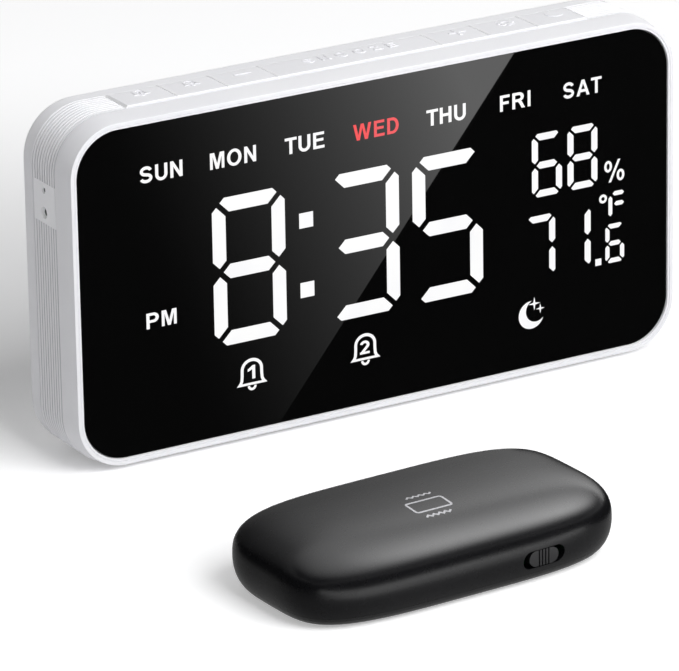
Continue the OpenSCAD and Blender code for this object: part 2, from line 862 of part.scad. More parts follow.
// Skins a list of rings into one closed solid
module loft(rings) {
  n = len(rings[0]);
  m = len(rings);
  pts = [for (r = rings) for (p = r) p];
  sides = [for (k = [0:m - 2]) for (i = [0:n - 1]) for (h = [0, 1])
    h == 0 ? [k * n + i, (k + 1) * n + i, (k + 1) * n + (i + 1) % n]
    : [k * n + i, (k + 1) * n + (i + 1) % n, k * n + (i + 1) % n]];
  polyhedron(points = pts, faces = concat([[for (i = [0:n - 1]) i]], sides,
    [[for (i = [n - 1:-1:0]) (m - 1) * n + i]]), convexity = 6);
}

module on_pad() {
  translate([pad_x, pad_y, pad_gap]) rotate([0, 0, pad_turn]) children();
}

module pad_posts() {
  for (i = [-1, 1]) {
    for (j = [-1, 1]) {
      translate([i * pscrew_x, j * pscrew_y, 0]) children();
    }
  }
}

module slot_y(x, z, w, h, y0, y1) {
  translate([x - (w - h) / 2, y0, z - h / 2]) cube([w - h, y1 - y0, h]);
  for (s = [-1, 1]) {
    translate([x + s * (w - h) / 2, y1, z]) rotate([90, 0, 0]) cylinder(h = y1 - y0, r = h / 2);
  }
}

module pad_shell() {
  color([0.06, 0.06, 0.065])
  on_pad() difference() {
    union() {
      loft(concat(upper_rings([dome_q, 60, 40, 20, 5], pad_wall),
        lower_rings([pad_wide_z, seam_z], pad_wall),
        lower_rings([seam_z, 5, pad_wide_z], 0), upper_rings([1, 4, 10, 20, 32, 46, 60, 71, dome_q], 0)));
      // screw posts, cut off inside the thickness of the top
      intersection() {
        pad_posts() translate([0, 0, seam_z + 2]) cylinder(h = pad_h, r = 2.6);
        loft(concat(lower_rings([seam_z, pad_wide_z], pad_wall / 2),
          upper_rings([5, 20, 40, 60, dome_q], pad_wall / 2)));
      }
    }
    pad_posts() translate([0, 0, seam_z]) cylinder(h = 8, r = hole_r);
    // switch slot in the front long side
    slot_y(slot_x, slot_z, slot_w, slot_h, -pad_b - 1, -pad_b + 5);
    // charging inlet in the right end
    translate([pad_a - 4, charge_y, pboard_z + board_t + 1.6]) rotate([0, 0, 90])
      slot_y(0, 0, socket_w + 0.6, socket_h + 0.6, -6, 3);
  }
}

module pad_base() {
  color([0.06, 0.06, 0.065])
  on_pad() difference() {
    union() {
      loft(concat(lower_rings([0, 0.3, 0.9, 1.8, seam_z - 0.1], 0),
        lower_rings([seam_z - 0.1, pad_wall], pad_wall)));
      pad_posts() translate([0, 0, 1]) cylinder(h = seam_z + 0.9, r = 3.2);
      // posts under the circuit board
      for (x = [pboard_x0 + 4, pboard_x1 - 4]) {
        for (y = [pboard_y0 + 3, pboard_y1 - 2]) {
          translate([x, y, 1]) cylinder(h = pboard_z - 1, r = 1.6);
        }
      }
      // saddle under the motor
      translate([motor_x0 + 2, motor_y - 6, 1]) cube([16, 12, motor_z - motor_r + 2.2]);
    }
    translate([motor_x0 - 1, motor_y, motor_z]) rotate([0, 90, 0]) cylinder(h = 40, r = motor_r + 0.3);
    pad_posts() translate([0, 0, -1]) cylinder(h = 2.6, r = head_r + curve_gap);
    pad_posts() translate([0, 0, -1]) cylinder(h = 8, r = hole_r);
    translate([-pad_foot_w / 2 - clear, -pad_foot_d / 2 - clear, -1])
      cube([pad_foot_w + 2 * clear, pad_foot_d + 2 * clear, 1.6]);
  }
}

module pad_board() {
  color([0.1, 0.35, 0.18])
  on_pad() translate([0, 0, pboard_z]) linear_extrude(board_t) union() {
    translate([pboard_x0, pboard_y0]) square([pboard_x1 - pboard_x0, pboard_y1 - pboard_y0]);
    translate([tongue_x0, -tongue_half]) square([tongue_x1 - tongue_x0, 2 * tongue_half]);
  }
}

module pad_chips() {
  zb = pboard_z + board_t;
  color([0.12, 0.12, 0.13])
  on_pad() {
    translate([8, -13, zb]) cube([6, 6, 1]);
    translate([17, -12, zb]) cube([10, 7, 1.8]);
    translate([31, -8, zb]) cylinder(h = 5, r = 2);
  }
}

module pad_battery() {
  color([0.72, 0.74, 0.78])
  on_pad() translate([cell2_x0, -cell2_w / 2, pad_wall])
    cube([cell2_x1 - cell2_x0, cell2_w, cell2_t]);
}

module pad_charge_socket() {
  color([0.78, 0.78, 0.8])
  on_pad() translate([0, charge_y, pboard_z + board_t + socket_h / 2]) difference() {
    rotate([0, 0, 90]) slot_y(0, 0, socket_w, socket_h, -pad_a + 0.8, -pad_a + 8.3);
    rotate([0, 0, 90]) slot_y(0, 0, socket_w - 0.6, socket_h - 0.6, -pad_a, -pad_a + 7.3);
  }
}

module pad_switch() {
  color([0.5, 0.5, 0.52])
  on_pad() difference() {
    translate([slot_x - psw_w / 2, pboard_y0, pboard_z + board_t]) cube([psw_w, psw_d, psw_h - 1]);
    translate([slot_x - 4, pboard_y0 - 1, slot_z - 0.9]) cube([8, 3.5, 1.8]);
  }
}

module pad_switch_knob() {
  color([0.07, 0.07, 0.075])
  on_pad() difference() {
    union() {
      slot_y(slot_x, slot_z, knob_w, knob_h, knob_face_y, knob_face_y + 2.6);
      translate([slot_x - 1.4, knob_face_y + 2, slot_z - 0.6]) cube([2.8, 5.6, 1.2]);
    }
    for (k = [-1.5:1:1.5]) {
      translate([slot_x + k * 0.95 - 0.2, knob_face_y - 1, slot_z - 3]) cube([0.4, 1.4, 6]);
    }
  }
}

module motor_can() {
  color([0.7, 0.71, 0.73])
  on_pad() translate([0, motor_y, motor_z]) rotate([0, 90, 0]) difference() {
    union() {
      translate([0, 0, motor_x0]) cylinder(h = motor_x1 - motor_x0, r = motor_r);
      translate([0, 0, motor_x0 - 1]) cylinder(h = 2, r = 2.5);
    }
    translate([0, 0, motor_x0 - 2]) cylinder(h = 12, r = shaft_r + 0.05);
  }
}

module motor_clamp() {
  color([0.7, 0.71, 0.73])
  on_pad() intersection() {
    translate([10, motor_y, motor_z]) rotate([0, 90, 0]) difference() {
      cylinder(h = 10, r = motor_r + 1.3);
      translate([0, 0, -1]) cylinder(h = 12, r = motor_r + 0.3);
    }
    translate([0, motor_y - 20, motor_z - 2]) cube([40, 40, 20]);
  }
}

module motor_shaft() {
  color([0.75, 0.76, 0.78])
  on_pad() translate([shaft_end, motor_y, motor_z]) rotate([0, 90, 0])
    cylinder(h = motor_x0 + 8 - shaft_end, r = shaft_r);
}

module shaker_weight() {
  color([0.72, 0.6, 0.35])
  on_pad() translate([weight_x0, motor_y, motor_z]) rotate([0, 90, 0]) difference() {
    cylinder(h = weight_x1 - weight_x0, r = weight_r);
    translate([-20, -20, -1]) cube([18.2, 40, 20]);
    translate([0, 0, -1]) cylinder(h = 20, r = shaft_r + 0.02);
  }
}

module pad_screws() {
  color([0.6, 0.6, 0.62])
  on_pad() pad_posts() difference() {
    union() {
      cylinder(h = head_h, r = head_r);
      cylinder(h = 9, r = shank_r);
    }
    translate([-1.6, -0.3, -1]) cube([3.2, 0.6, 1.9]);
    translate([-0.3, -1.6, -1]) cube([0.6, 3.2, 1.9]);
  }
}

module pad_foot() {
  color([0.12, 0.12, 0.12])
  translate([pad_x, pad_y, 0]) rotate([0, 0, pad_turn]) linear_extrude(pad_gap + 0.6)
    rounded(pad_foot_w, pad_foot_d, foot_rad);
}

// Drawing
front_frame();
ribbed_band();
rear_cover();
display_face();
hour_segments();
ten_minute_segments();
minute_segments();
colon_dots();
humidity_segments();
temperature_segments();
light_box();
led_board();
led_chips();
main_board();
board_chips();
radio_module();
coin_cell();
cell_holder();
power_socket();
speaker();
button_board();
button_switches();
sensor_board();
side_sensors();
case_screws();
board_screws();
clock_foot();
alarm_one_button();
alarm_two_button();
minus_button();
snooze_button();
plus_button();
settings_button();
dimmer_button();
pad_shell();
pad_base();
pad_board();
pad_chips();
pad_battery();
pad_charge_socket();
pad_switch();
pad_switch_knob();
motor_can();
motor_clamp();
motor_shaft();
shaker_weight();
pad_screws();
pad_foot();
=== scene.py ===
# %% [markdown]
# # A bed shaker alarm clock
# The object is a white alarm clock with a black window and a black pad that goes
# under a pillow and shakes. The measured frame of both is loaded first. Every
# piece below is made in metres, in that same frame, so nothing has to be fitted.

# %% Load the measured frame
import math
import bmesh
import bpy
from mathutils import Matrix, Vector
from mathutils.geometry import tessellate_polygon


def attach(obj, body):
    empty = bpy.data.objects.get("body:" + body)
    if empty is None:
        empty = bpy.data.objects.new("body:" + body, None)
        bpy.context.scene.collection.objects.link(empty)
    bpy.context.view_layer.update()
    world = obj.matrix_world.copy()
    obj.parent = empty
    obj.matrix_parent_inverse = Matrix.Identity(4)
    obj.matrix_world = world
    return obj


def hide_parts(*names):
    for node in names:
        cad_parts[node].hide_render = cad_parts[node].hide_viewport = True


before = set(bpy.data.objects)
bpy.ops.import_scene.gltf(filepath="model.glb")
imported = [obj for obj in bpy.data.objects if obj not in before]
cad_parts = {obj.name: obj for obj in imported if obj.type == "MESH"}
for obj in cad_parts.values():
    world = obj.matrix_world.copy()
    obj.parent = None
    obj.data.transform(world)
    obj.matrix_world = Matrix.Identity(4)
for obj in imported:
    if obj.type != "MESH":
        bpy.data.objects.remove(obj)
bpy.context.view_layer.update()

MM = 0.001

# %% [markdown]
# ## The camera
# A long lens far away keeps the clock's edges nearly parallel, as a product
# picture does. The angles, the distance and the point that it looks at were
# fitted to the corners of the clock's face in the photograph.

# %% Aim the camera
AZIMUTH, ELEVATION, ROLL = (math.radians(a) for a in (29.96, 20.31, -0.97))
AIM = Vector((-13.3, -13.0, 24.3)) * MM
DISTANCE = 1602 * MM
FOCAL_PIXELS, PHOTO_WIDTH = 6000, 679

to_camera = Vector((-math.sin(AZIMUTH) * math.cos(ELEVATION),
                    -math.cos(AZIMUTH) * math.cos(ELEVATION), math.sin(ELEVATION)))
level_right = (-to_camera).cross(Vector((0, 0, 1))).normalized()
level_up = level_right.cross(-to_camera)
right = level_right * math.cos(ROLL) + level_up * math.sin(ROLL)
up = level_up * math.cos(ROLL) - level_right * math.sin(ROLL)

lens = bpy.data.cameras.new("studio_camera")
lens.sensor_width = 36
lens.lens = FOCAL_PIXELS * lens.sensor_width / PHOTO_WIDTH
lens.clip_end = 20
camera = bpy.data.objects.new("studio_camera", lens)
camera.matrix_world = Matrix.Translation(AIM + to_camera * DISTANCE) @ Matrix(
    (right, up, to_camera)).transposed().to_4x4()
bpy.context.scene.collection.objects.link(camera)
bpy.context.scene.camera = camera
bpy.context.scene.view_settings.view_transform = "Standard"
print("lens in mm:", round(lens.lens, 1))

# %% [markdown]
# ## Colours and nodes
# Colours are picked as sRGB hex values, as on a colour chart, while a shader
# works with linear light. One function turns the one into the other. A second
# one adds a shader node with its settings and links in one line, and short ones
# follow for what every finish needs.

# %% Helpers for materials


def linear(code):
    parts = [int(code[i:i + 2], 16) / 255 for i in (1, 3, 5)]
    return [c / 12.92 if c <= 0.04045 else ((c + 0.055) / 1.055) ** 2.4 for c in parts] + [1]


def add(tree, kind, inputs=None, **settings):
    node = tree.nodes.new("ShaderNode" + kind)
    for name, value in settings.items():
        setattr(node, name, value)
    for socket, value in (inputs or {}).items():
        if isinstance(value, bpy.types.NodeSocket):
            tree.links.new(value, node.inputs[socket])
        else:
            node.inputs[socket].default_value = value
    return node


def maths(tree, what, first, second, clamp=False):
    return add(tree, "Math", {0: first, 1: second}, operation=what, use_clamp=clamp).outputs[0]


def per_mm(size):
    """Pattern scale whose features are size millimetres wide."""
    return 1 / (size * MM)


def start(name):
    """A material with nothing in it, and the places on the object in metres."""
    material = bpy.data.materials.new(name)
    material.use_nodes = True
    material.node_tree.nodes.clear()
    return material, material.node_tree, add(material.node_tree, "TexCoord").outputs["Object"]


def split(tree, place):
    axes = add(tree, "SeparateXYZ", {"Vector": place})
    return axes.outputs["X"], axes.outputs["Y"], axes.outputs["Z"]


def noise(tree, place, size, detail):
    return add(tree, "TexNoise", {"Vector": place, "Scale": per_mm(size),
                                  "Detail": detail}).outputs["Fac"]


def between(tree, value, low, high, span=(0.0, 1.0), curve="LINEAR"):
    """Turn a value that runs over a span into one that runs from low to high."""
    return add(tree, "MapRange", {"Value": value, "From Min": span[0], "From Max": span[1],
                                  "To Min": low, "To Max": high}, interpolation_type=curve).outputs[0]


def shades(tree, value, *stops):
    """Turn a value into a colour by stops of (position, colour)."""
    ramp = add(tree, "ValToRGB", {"Fac": value})
    ramp.color_ramp.elements.remove(ramp.color_ramp.elements[1])
    ramp.color_ramp.elements[0].position = stops[0][0]
    ramp.color_ramp.elements[0].color = linear(stops[0][1])
    for position, colour in stops[1:]:
        ramp.color_ramp.elements.new(position).color = linear(colour)
    return ramp.outputs["Color"]


def plastic(tree, colour, rough, ior, **more):
    """The closing shader of a finish, joined to the output."""
    inputs = {"Base Color": colour, "Roughness": rough, "IOR": ior}
    inputs.update({name.replace("_", " "): value for name, value in more.items()})
    shader = add(tree, "BsdfPrincipled", inputs)
    add(tree, "OutputMaterial", {"Surface": shader.outputs[0]})


print("white abs in linear light:", [round(c, 3) for c in linear("#EDEDF0")])

# %% [markdown]
# ## Moulded and metal finishes
# Most of the real pieces are injection moulded, and the mould gives the plastic
# One recipe covers them: a colour that drifts by a hair over centimetres, a
# gloss that varies over millimetres, and a bump at the size of the grain. The
# ribbed band is painted a lighter white than the rest of the case, a painted
# highlight on its crests, and its grooves get painted shade as far as they go.

# %% Recipe for a skin with grain


RIBS_FRONT, RIBS_BAND, RIBS_COUNT, GROOVE_SHADE_WIDE = 5.8, 12.1, 9, 0.42
PATCH_X, PATCH_LOW, PATCH_HIGH = -92.9, 67.3, 78.6


def in_grooves(tree, place, colour, shade):
    """Paint shade into the grooves of the ribbed band, except on its plain patch."""
    x, y, z = split(tree, place)
    pitch = RIBS_BAND / RIBS_COUNT
    turns = maths(tree, "MULTIPLY", maths(tree, "SUBTRACT", y, -RIBS_FRONT * MM), per_mm(pitch))
    off = maths(tree, "PINGPONG", turns, 0.5)
    line = between(tree, off, 1.0, 0.0, (0.0, GROOVE_SHADE_WIDE / pitch))
    patch = maths(tree, "MULTIPLY", maths(tree, "GREATER_THAN", z, PATCH_LOW * MM),
                  maths(tree, "LESS_THAN", z, PATCH_HIGH * MM))
    patch = maths(tree, "MULTIPLY", maths(tree, "LESS_THAN", x, PATCH_X * MM), patch)
    line = maths(tree, "MULTIPLY", line, maths(tree, "SUBTRACT", 1.0, patch))
    return add(tree, "MixRGB", {"Fac": line, "Color1": colour,
                                "Color2": linear(shade)}).outputs["Color"]


def skin(name, colour, drift, rough, grain, depth, metallic=0.0, ior=1.5, spread=0.05,
         stretch=(1, 1, 1), gleam=0.5, grooves=None):
    material, tree, place = start(name)
    lie = add(tree, "Mapping", {"Vector": place, "Scale": stretch}).outputs[0]
    base = shades(tree, noise(tree, lie, 18, 3.0), (0.3, drift), (0.7, colour))
    if grooves:
        base = in_grooves(tree, place, base, grooves)
    bump = add(tree, "Bump", {"Height": noise(tree, lie, grain, 2.0), "Strength": 0.5,
                              "Distance": depth * MM})
    plastic(tree, base, between(tree, noise(tree, lie, 2.5, 2.0), rough - spread, rough + spread),
            ior, Normal=bump.outputs[0], Metallic=metallic, Specular_IOR_Level=gleam)
    return material


housing_abs = skin("white_ABS_spark_eroded", "#E9E9EC", "#E6E6EA", 0.42, 0.35, 0.001)
# The ribbed band's lighter white is a painted highlight, and its groove colour is painted shade.
ribbed_abs = skin("white_ABS_ribbed_painted_light_and_shade", "#F6F6F9", "#F4F4F7", 0.42, 0.35, 0.0,
                  grooves="#98989E")
button_abs = skin("white_ABS_fine_matt", "#EBEBEF", "#E8E8EC", 0.36, 0.3, 0.002)
# The ribs between the caps are a lighter white than the caps: a painted highlight.
divider_abs_painted_highlight = skin("white_ABS_gloss_painted_highlight", "#FBFBFC", "#F8F8FA", 0.25, 0.4, 0.001)
pad_abs = skin("black_ABS_satin", "#0D0D0F", "#0B0B0D", 0.27, 0.4, 0.002, spread=0.02, gleam=0.3)
knob_abs = skin("black_ABS_fine_matt", "#141416", "#101012", 0.4, 0.3, 0.004)
pad_ink = skin("light_grey_pad_print", "#B4B4B8", "#ADADB1", 0.5, 0.3, 0.002)
lens_white = skin("white_polycarbonate_funnel", "#FCFCFD", "#F8F8FA", 0.2, 0.5, 0.001, ior=1.58)
lens_dark = skin("smoked_polycarbonate_lens", "#3C3C40", "#343438", 0.25, 0.5, 0.001, ior=1.58)
foot_rubber = skin("black_rubber_moulded", "#1B1B1C", "#161617", 0.75, 0.5, 0.03, ior=1.52)
box_abs = skin("white_ABS_polished_mould", "#E8E8E4", "#E2E2DE", 0.3, 0.8, 0.004)
chip_epoxy = skin("black_epoxy_moulded", "#202124", "#1A1B1D", 0.55, 0.3, 0.01)
holder_nylon = skin("black_nylon_moulded", "#1C1C1E", "#161618", 0.5, 0.5, 0.01)
paper_cone = skin("grey_paper_pulp_pressed", "#3A3A3D", "#2F2F32", 0.8, 0.7, 0.05)
led_epoxy = skin("yellow_epoxy_cast_led", "#F2E6A8", "#EADB90", 0.2, 0.6, 0.004, ior=1.54)
tin_plate = skin("tinned_steel_pressed", "#C9CACD", "#BDBEC2", 0.3, 0.5, 0.004, metallic=1.0)
screw_steel = skin("zinc_plated_steel_rolled", "#B9BABD", "#A9AAAE", 0.28, 0.4, 0.006, metallic=1.0)
can_steel = skin("nickel_plated_steel_drawn", "#C4C4C6", "#B6B6B9", 0.24, 0.6, 0.004,
                 metallic=1.0, stretch=(0.1, 1, 1))
cell_steel = skin("stainless_steel_pressed", "#CFCFD1", "#C2C2C5", 0.22, 0.5, 0.003, metallic=1.0)
pouch_foil = skin("aluminium_foil_laminate", "#C6C8CC", "#B4B7BC", 0.35, 3.0, 0.08, metallic=0.9)
brass = skin("brass_turned", "#C9A961", "#BB9A50", 0.3, 0.3, 0.006, metallic=1.0,
             stretch=(6, 1, 1))
print("skins made:", len(bpy.data.materials))

# %% [markdown]
# ## Printed circuit boards
# A board is glass-fibre sheet under green solder mask. The weave of the glass
# shows faintly, about 0.5 mm from thread to thread, and copper tracks make
# lighter lines about 0.6 mm wide under the green.

# %% Green solder mask
solder_mask, tree, place = start("green_solder_mask_printed")
weave = add(tree, "TexChecker", {"Vector": place, "Scale": per_mm(0.5),
                                 "Color1": linear("#1F6B3A"), "Color2": linear("#1C6335")})
tracks = add(tree, "TexBrick", {"Vector": place, "Scale": per_mm(6.0), "Mortar Size": 0.05,
                                "Color1": weave.outputs["Color"], "Color2": weave.outputs["Color"],
                                "Mortar": linear("#2E8A4E")})
plastic(tree, tracks.outputs["Color"], 0.28, 1.52)
print("board finish:", solder_mask.name)

# %% [markdown]
# ## The black window
# The clock's front is one sheet of acrylic, backed with black film and polished
# like a mirror. It reflects about four per cent of what lies in front of it.
# A polish is never quite even, so the gloss drifts a little over centimetres.

# %% Polished black acrylic
window_acrylic, tree, place = start("black_acrylic_polished")
smear = noise(tree, place, 25, 2.0)
plastic(tree, shades(tree, smear, (0.0, "#060606"), (1.0, "#080808")),
        between(tree, smear, 0.012, 0.03), 1.49)
print("window finish:", window_acrylic.name)

# %% [markdown]
# ## Lit windows
# Each lit bar is a clear gap in the film with milky polycarbonate behind it, and
# light-emitting chips about 9 mm apart behind that. The milk evens the light
# out, so only a faint cloudiness is left in an even glow.

# %% Milky polycarbonate with light behind it


def glow(name, colour, dim, strength):
    material, tree, place = start(name)
    light = shades(tree, noise(tree, place, 9, 1.0), (0.35, dim), (0.6, colour))
    plastic(tree, linear("#2A2A2A"), 0.3, 1.58, Emission_Color=light, Emission_Strength=strength)
    return material


lit_white = glow("polycarbonate_lit_white", "#FFFFFF", "#FBFBFD", 0.96)
lit_red = glow("polycarbonate_lit_red", "#F62F34", "#E83E49", 0.95)
print("glows:", lit_white.name, lit_red.name)

# %% [markdown]
# ## Finishes on the measured nodes
# Every node of the frame stays or is replaced by a finer piece further down.
# The ones that stay only get their finish, put in their own material slots.

# %% Give each node its finish
FINISHES = {
    housing_abs: ["front_frame", "rear_cover"],
    ribbed_abs: ["ribbed_band"],
    button_abs: ["alarm_one_button", "alarm_two_button", "minus_button", "snooze_button",
                 "plus_button", "settings_button", "dimmer_button"],
    window_acrylic: ["display_face"],
    lit_white: ["hour_segments", "ten_minute_segments", "minute_segments", "colon_dots",
                "humidity_segments", "temperature_segments"],
    box_abs: ["light_box"],
    solder_mask: ["led_board", "main_board", "button_board", "sensor_board", "pad_board"],
    led_epoxy: ["led_chips"],
    chip_epoxy: ["board_chips", "pad_chips", "button_switches", "side_sensors"],
    tin_plate: ["radio_module", "power_socket", "pad_charge_socket", "pad_switch", "motor_clamp"],
    cell_steel: ["coin_cell"],
    holder_nylon: ["cell_holder"],
    paper_cone: ["speaker"],
    screw_steel: ["case_screws", "board_screws", "pad_screws", "motor_shaft"],
    foot_rubber: ["clock_foot", "pad_foot"],
    pad_abs: ["pad_shell", "pad_base"],
    knob_abs: ["pad_switch_knob"],
    pouch_foil: ["pad_battery"],
    can_steel: ["motor_can"],
    brass: ["shaker_weight"],
}
for finish, names in FINISHES.items():
    for name in names:
        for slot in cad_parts[name].material_slots:
            slot.material = finish
finished = {name for names in FINISHES.values() for name in names}
print("nodes without a finish:", sorted(set(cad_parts) - finished))

# %% [markdown]
# ## Making meshes
# New pieces are lists of points in millimetres and the faces between them. One
# function makes the object, and another gives it its finish and lets it ride on
# its body. Most forms are rings of points with quads from ring to ring.

# %% Helper that makes a piece


CORNERS = ((-1, -1), (1, -1), (1, 1), (-1, 1))


def made_of(name, points, faces):
    mesh = bpy.data.meshes.new(name)
    mesh.from_pydata([Vector(p) * MM for p in points], [], faces)
    made = bpy.data.objects.new(name, mesh)
    bpy.context.scene.collection.objects.link(made)
    return made


def shade_smooth(made, degrees):
    made.data.shade_smooth()
    made.data.set_sharp_from_angle(angle=math.radians(degrees))


def piece(name, points, faces, finish, body, smooth=None):
    made = made_of(name, points, faces)
    made.data.validate()
    made.data.materials.append(finish)
    if smooth is not None:
        shade_smooth(made, smooth)
    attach(made, body)
    return made


def rings_to_faces(count, around, first=0):
    """Quads between closed rings of points, one ring after the other."""
    return [(first + k * around + i, first + k * around + (i + 1) % around,
             first + (k + 1) * around + (i + 1) % around, first + (k + 1) * around + i)
            for k in range(count - 1) for i in range(around)]


def prism_faces(count, first=0):
    """Faces of two equal rings with their ends closed."""
    ends = tuple(range(first, first + count))[::-1], tuple(range(first + count, first + 2 * count))
    return rings_to_faces(2, count, first) + [*ends]


def bake_modifiers(made):
    graph = bpy.context.evaluated_depsgraph_get()
    mesh = bpy.data.meshes.new_from_object(made.evaluated_get(graph))
    made.modifiers.clear()
    made.data = mesh


print("piece maker ready")

# %% [markdown]
# ## Flat signs
# The words and signs on the window are flat shapes a few hundredths of a
# millimetre thick, and those on the buttons stand a fifth of a millimetre high.
# A sign is a list of outlines, each followed by its holes; it is filled with
# triangles, closed with side walls and laid on the face or on the top.

# %% Signs from outlines
FACE_Y, FACE_LOW_Z = -13.0, 3.2


def on_face(u, v, h):
    return (u, FACE_Y - h, FACE_LOW_Z + v)


def sign(name, shapes, place, low, high, finish, body):
    points, faces = [], []
    for loops in shapes:
        flat = [p for loop in loops for p in loop]
        base, count = len(points), len(flat)
        points += [place(u, v, high) for u, v in flat] + [place(u, v, low) for u, v in flat]
        for a, b, c in tessellate_polygon([[Vector((u, v, 0)) for u, v in loop] for loop in loops]):
            (ax, ay), (bx, by), (cx, cy) = flat[a], flat[b], flat[c]
            if (bx - ax) * (cy - ay) - (by - ay) * (cx - ax) < 0:
                b, c = c, b
            faces.append((base + a, base + b, base + c))
            faces.append((base + count + a, base + count + c, base + count + b))
        first = base
        for loop in loops:
            turn = sum(p[0] * q[1] - q[0] * p[1] for p, q in zip(loop, loop[1:] + loop[:1]))
            for i in range(len(loop)):
                a, b = first + i, first + (i + 1) % len(loop)
                if (turn > 0) != (loop is loops[0]):
                    a, b = b, a
                faces.append((a, a + count, b + count, b))
            first += len(loop)
    return piece(name, points, faces, finish, body)


def arc(cx, cy, rx, ry, a0, a1, count=16):
    """Points on a piece of an ellipse from one angle to the other."""
    turns = [math.radians(a0 + (a1 - a0) * i / count) for i in range(count + 1)]
    return [(cx + rx * math.cos(a), cy + ry * math.sin(a)) for a in turns]


def circle(cx, cy, r, count):
    return arc(cx, cy, r, r, 0, 360, count)[:-1]


def stroke(line, width, closed=False):
    """The outline of a pen line of a given width, as one shape."""
    sides = ([], [])
    count = len(line)
    for i, (x, y) in enumerate(line):
        before = line[i - 1] if closed or i else line[i]
        after = line[(i + 1) % count] if closed or i < count - 1 else line[i]
        first = Vector((x - before[0], y - before[1])).normalized() if before != (x, y) else None
        then = Vector((after[0] - x, after[1] - y)).normalized() if after != (x, y) else None
        first, then = first or then, then or first
        middle = (first + then).normalized()
        reach = width / 2 / max(0.5, middle.dot(first))
        sides[0].append((x - middle.y * reach, y + middle.x * reach))
        sides[1].append((x + middle.y * reach, y - middle.x * reach))
    return [sides[1], sides[0]] if closed else [sides[1] + sides[0][::-1]]


print("sign maker ready")

# %% [markdown]
# ## Letters
# The words on the window are generic labels: the days, PM and a per cent sign.
# Blender's own type is too thin and smears when it is made bold, so the bold
# letters are drawn here as plain outlines. Each one stands in a cell as high as
# 1, with stems a fifth wide, and curved parts are pieces of ellipses.

# %% Draw the letters
LETTERS = {
    "S": [stroke(arc(.41, .705, .3, .205, 12, 250, 24)
                 + arc(.41, .285, .315, .2, 70, -168, 24), .19)],
    "U": [[[(0, 1)] + arc(.4, .37, .4, .385, 180, 360) + [(.8, 1), (.6, 1)]
           + arc(.4, .37, .2, .2, 360, 180) + [(.2, 1)]]],
    "N": [[[(0, 0), (0, 1), (.2, 1), (.605, .335), (.605, 1), (.8, 1), (.8, 0), (.6, 0),
            (.195, .66), (.195, 0)]]],
    "M": [[[(0, 0), (0, 1), (.29, 1), (.4825, .32), (.675, 1), (.965, 1), (.965, 0), (.785, 0),
            (.785, .78), (.575, 0), (.39, 0), (.18, .78), (.18, 0)]]],
    "O": [[arc(.4875, .5, .4875, .52, 0, 352.5, 47), arc(.4875, .5, .28, .345, 352.5, 0, 47)]],
    "T": [[[(0, 1), (.8, 1), (.8, .83), (.5, .83), (.5, 0), (.3, 0), (.3, .83), (0, .83)]]],
    "E": [[[(0, 0), (0, 1), (.74, 1), (.74, .83), (.2, .83), (.2, .61), (.69, .61), (.69, .445),
            (.2, .445), (.2, .17), (.757, .17), (.757, 0)]]],
    "W": [[[(0, 1), (.21, 1), (.365, .32), (.545, 1), (.755, 1), (.935, .32), (1.09, 1), (1.3, 1),
            (1.045, 0), (.83, 0), (.65, .74), (.47, 0), (.255, 0)]]],
    "D": [[[(0, 0), (0, 1)] + arc(.38, .5, .445, .5, 90, -90, 24),
           [(.2, .17)] + arc(.36, .5, .255, .33, -90, 90, 24) + [(.2, .83)]]],
    "H": [[[(0, 0), (0, 1), (.2, 1), (.2, .61), (.6, .61), (.6, 1), (.8, 1), (.8, 0), (.6, 0),
            (.6, .435), (.2, .435), (.2, 0)]]],
    "F": [[[(0, 0), (0, 1), (.69, 1), (.69, .83), (.2, .83), (.2, .595), (.62, .595), (.62, .425),
            (.2, .425), (.2, 0)]]],
    "R": [[[(0, 0), (0, 1)] + arc(.46, .715, .36, .285, 90, -62)
           + [(.7, .37), (.907, 0), (.665, 0), (.5, .3), (.4, .415), (.2, .415), (.2, 0)],
           [(.2, .585)] + arc(.44, .7075, .16, .1225, -90, 90) + [(.2, .83)]]],
    "I": [[[(0, 0), (0, 1), (.2, 1), (.2, 0)]]],
    "A": [[[(0, 0), (.395, 1), (.605, 1), (.996, 0), (.78, 0), (.7, .225), (.3, .225), (.22, 0)],
           [(.36, .4), (.64, .4), (.5, .77)]]],
    "P": [[[(0, 0), (0, 1)] + arc(.46, .69, .34, .31, 90, -90) + [(.2, .38), (.2, 0)],
           [(.2, .55)] + arc(.44, .69, .155, .14, -90, 90) + [(.2, .83)]]],
    "Z": [[[(0, 0), (0, .18), (.5, .83), (.03, .83), (.03, 1), (.74, 1), (.74, .85), (.23, .17),
            (.76, .17), (.76, 0)]]],
    "1": [[[(.3, 0), (.3, .71), (0, .56), (0, .74), (.33, 1), (.5, 1), (.5, 0)]]],
    "2": [[stroke(arc(.33, .68, .235, .225, 168, -32, 20) + [(.12, .09)], .19)[0]],
          [[(0, 0), (0, .17), (.67, .17), (.67, 0)]]],
}
print("letters drawn:", "".join(LETTERS))

# %% [markdown]
# ## Words
# A word is its letters side by side, a fifth of their height apart, fitted to
# the width and height that it has in the photograph. All signs on the window
# have the same thickness, and they glow as the bars do.

# %% Set the words on the window


def word_shapes(text, box, apart=0.19):
    shapes, along = [], 0.0
    for letter in text:
        drawn = LETTERS[letter]
        wide = max(x for loops in drawn for loop in loops for x, _ in loop)
        shapes += [[[(x + along, y) for x, y in loop] for loop in loops] for loops in drawn]
        along += wide + apart - (0.07 if letter in "AT" else 0)
    total = max(x for loops in shapes for loop in loops for x, _ in loop)
    u0, v0, u1, v1 = box
    return [[[(u0 + x / total * (u1 - u0), v0 + y * (v1 - v0)) for x, y in loop]
             for loop in loops] for loops in shapes]


LABEL_THICK = 0.03
CAPS_LOW, CAPS_HIGH = 74.75, 79.25
DAYS = {"sun": (-72.25, -59.6), "mon": (-51.4, -37.6), "tue": (-28.9, -16.9),
        "wed": (-8.1, 5.9), "thu": (14.5, 26.75), "fri": (37.5, 47.1), "sat": (57.5, 69.75)}


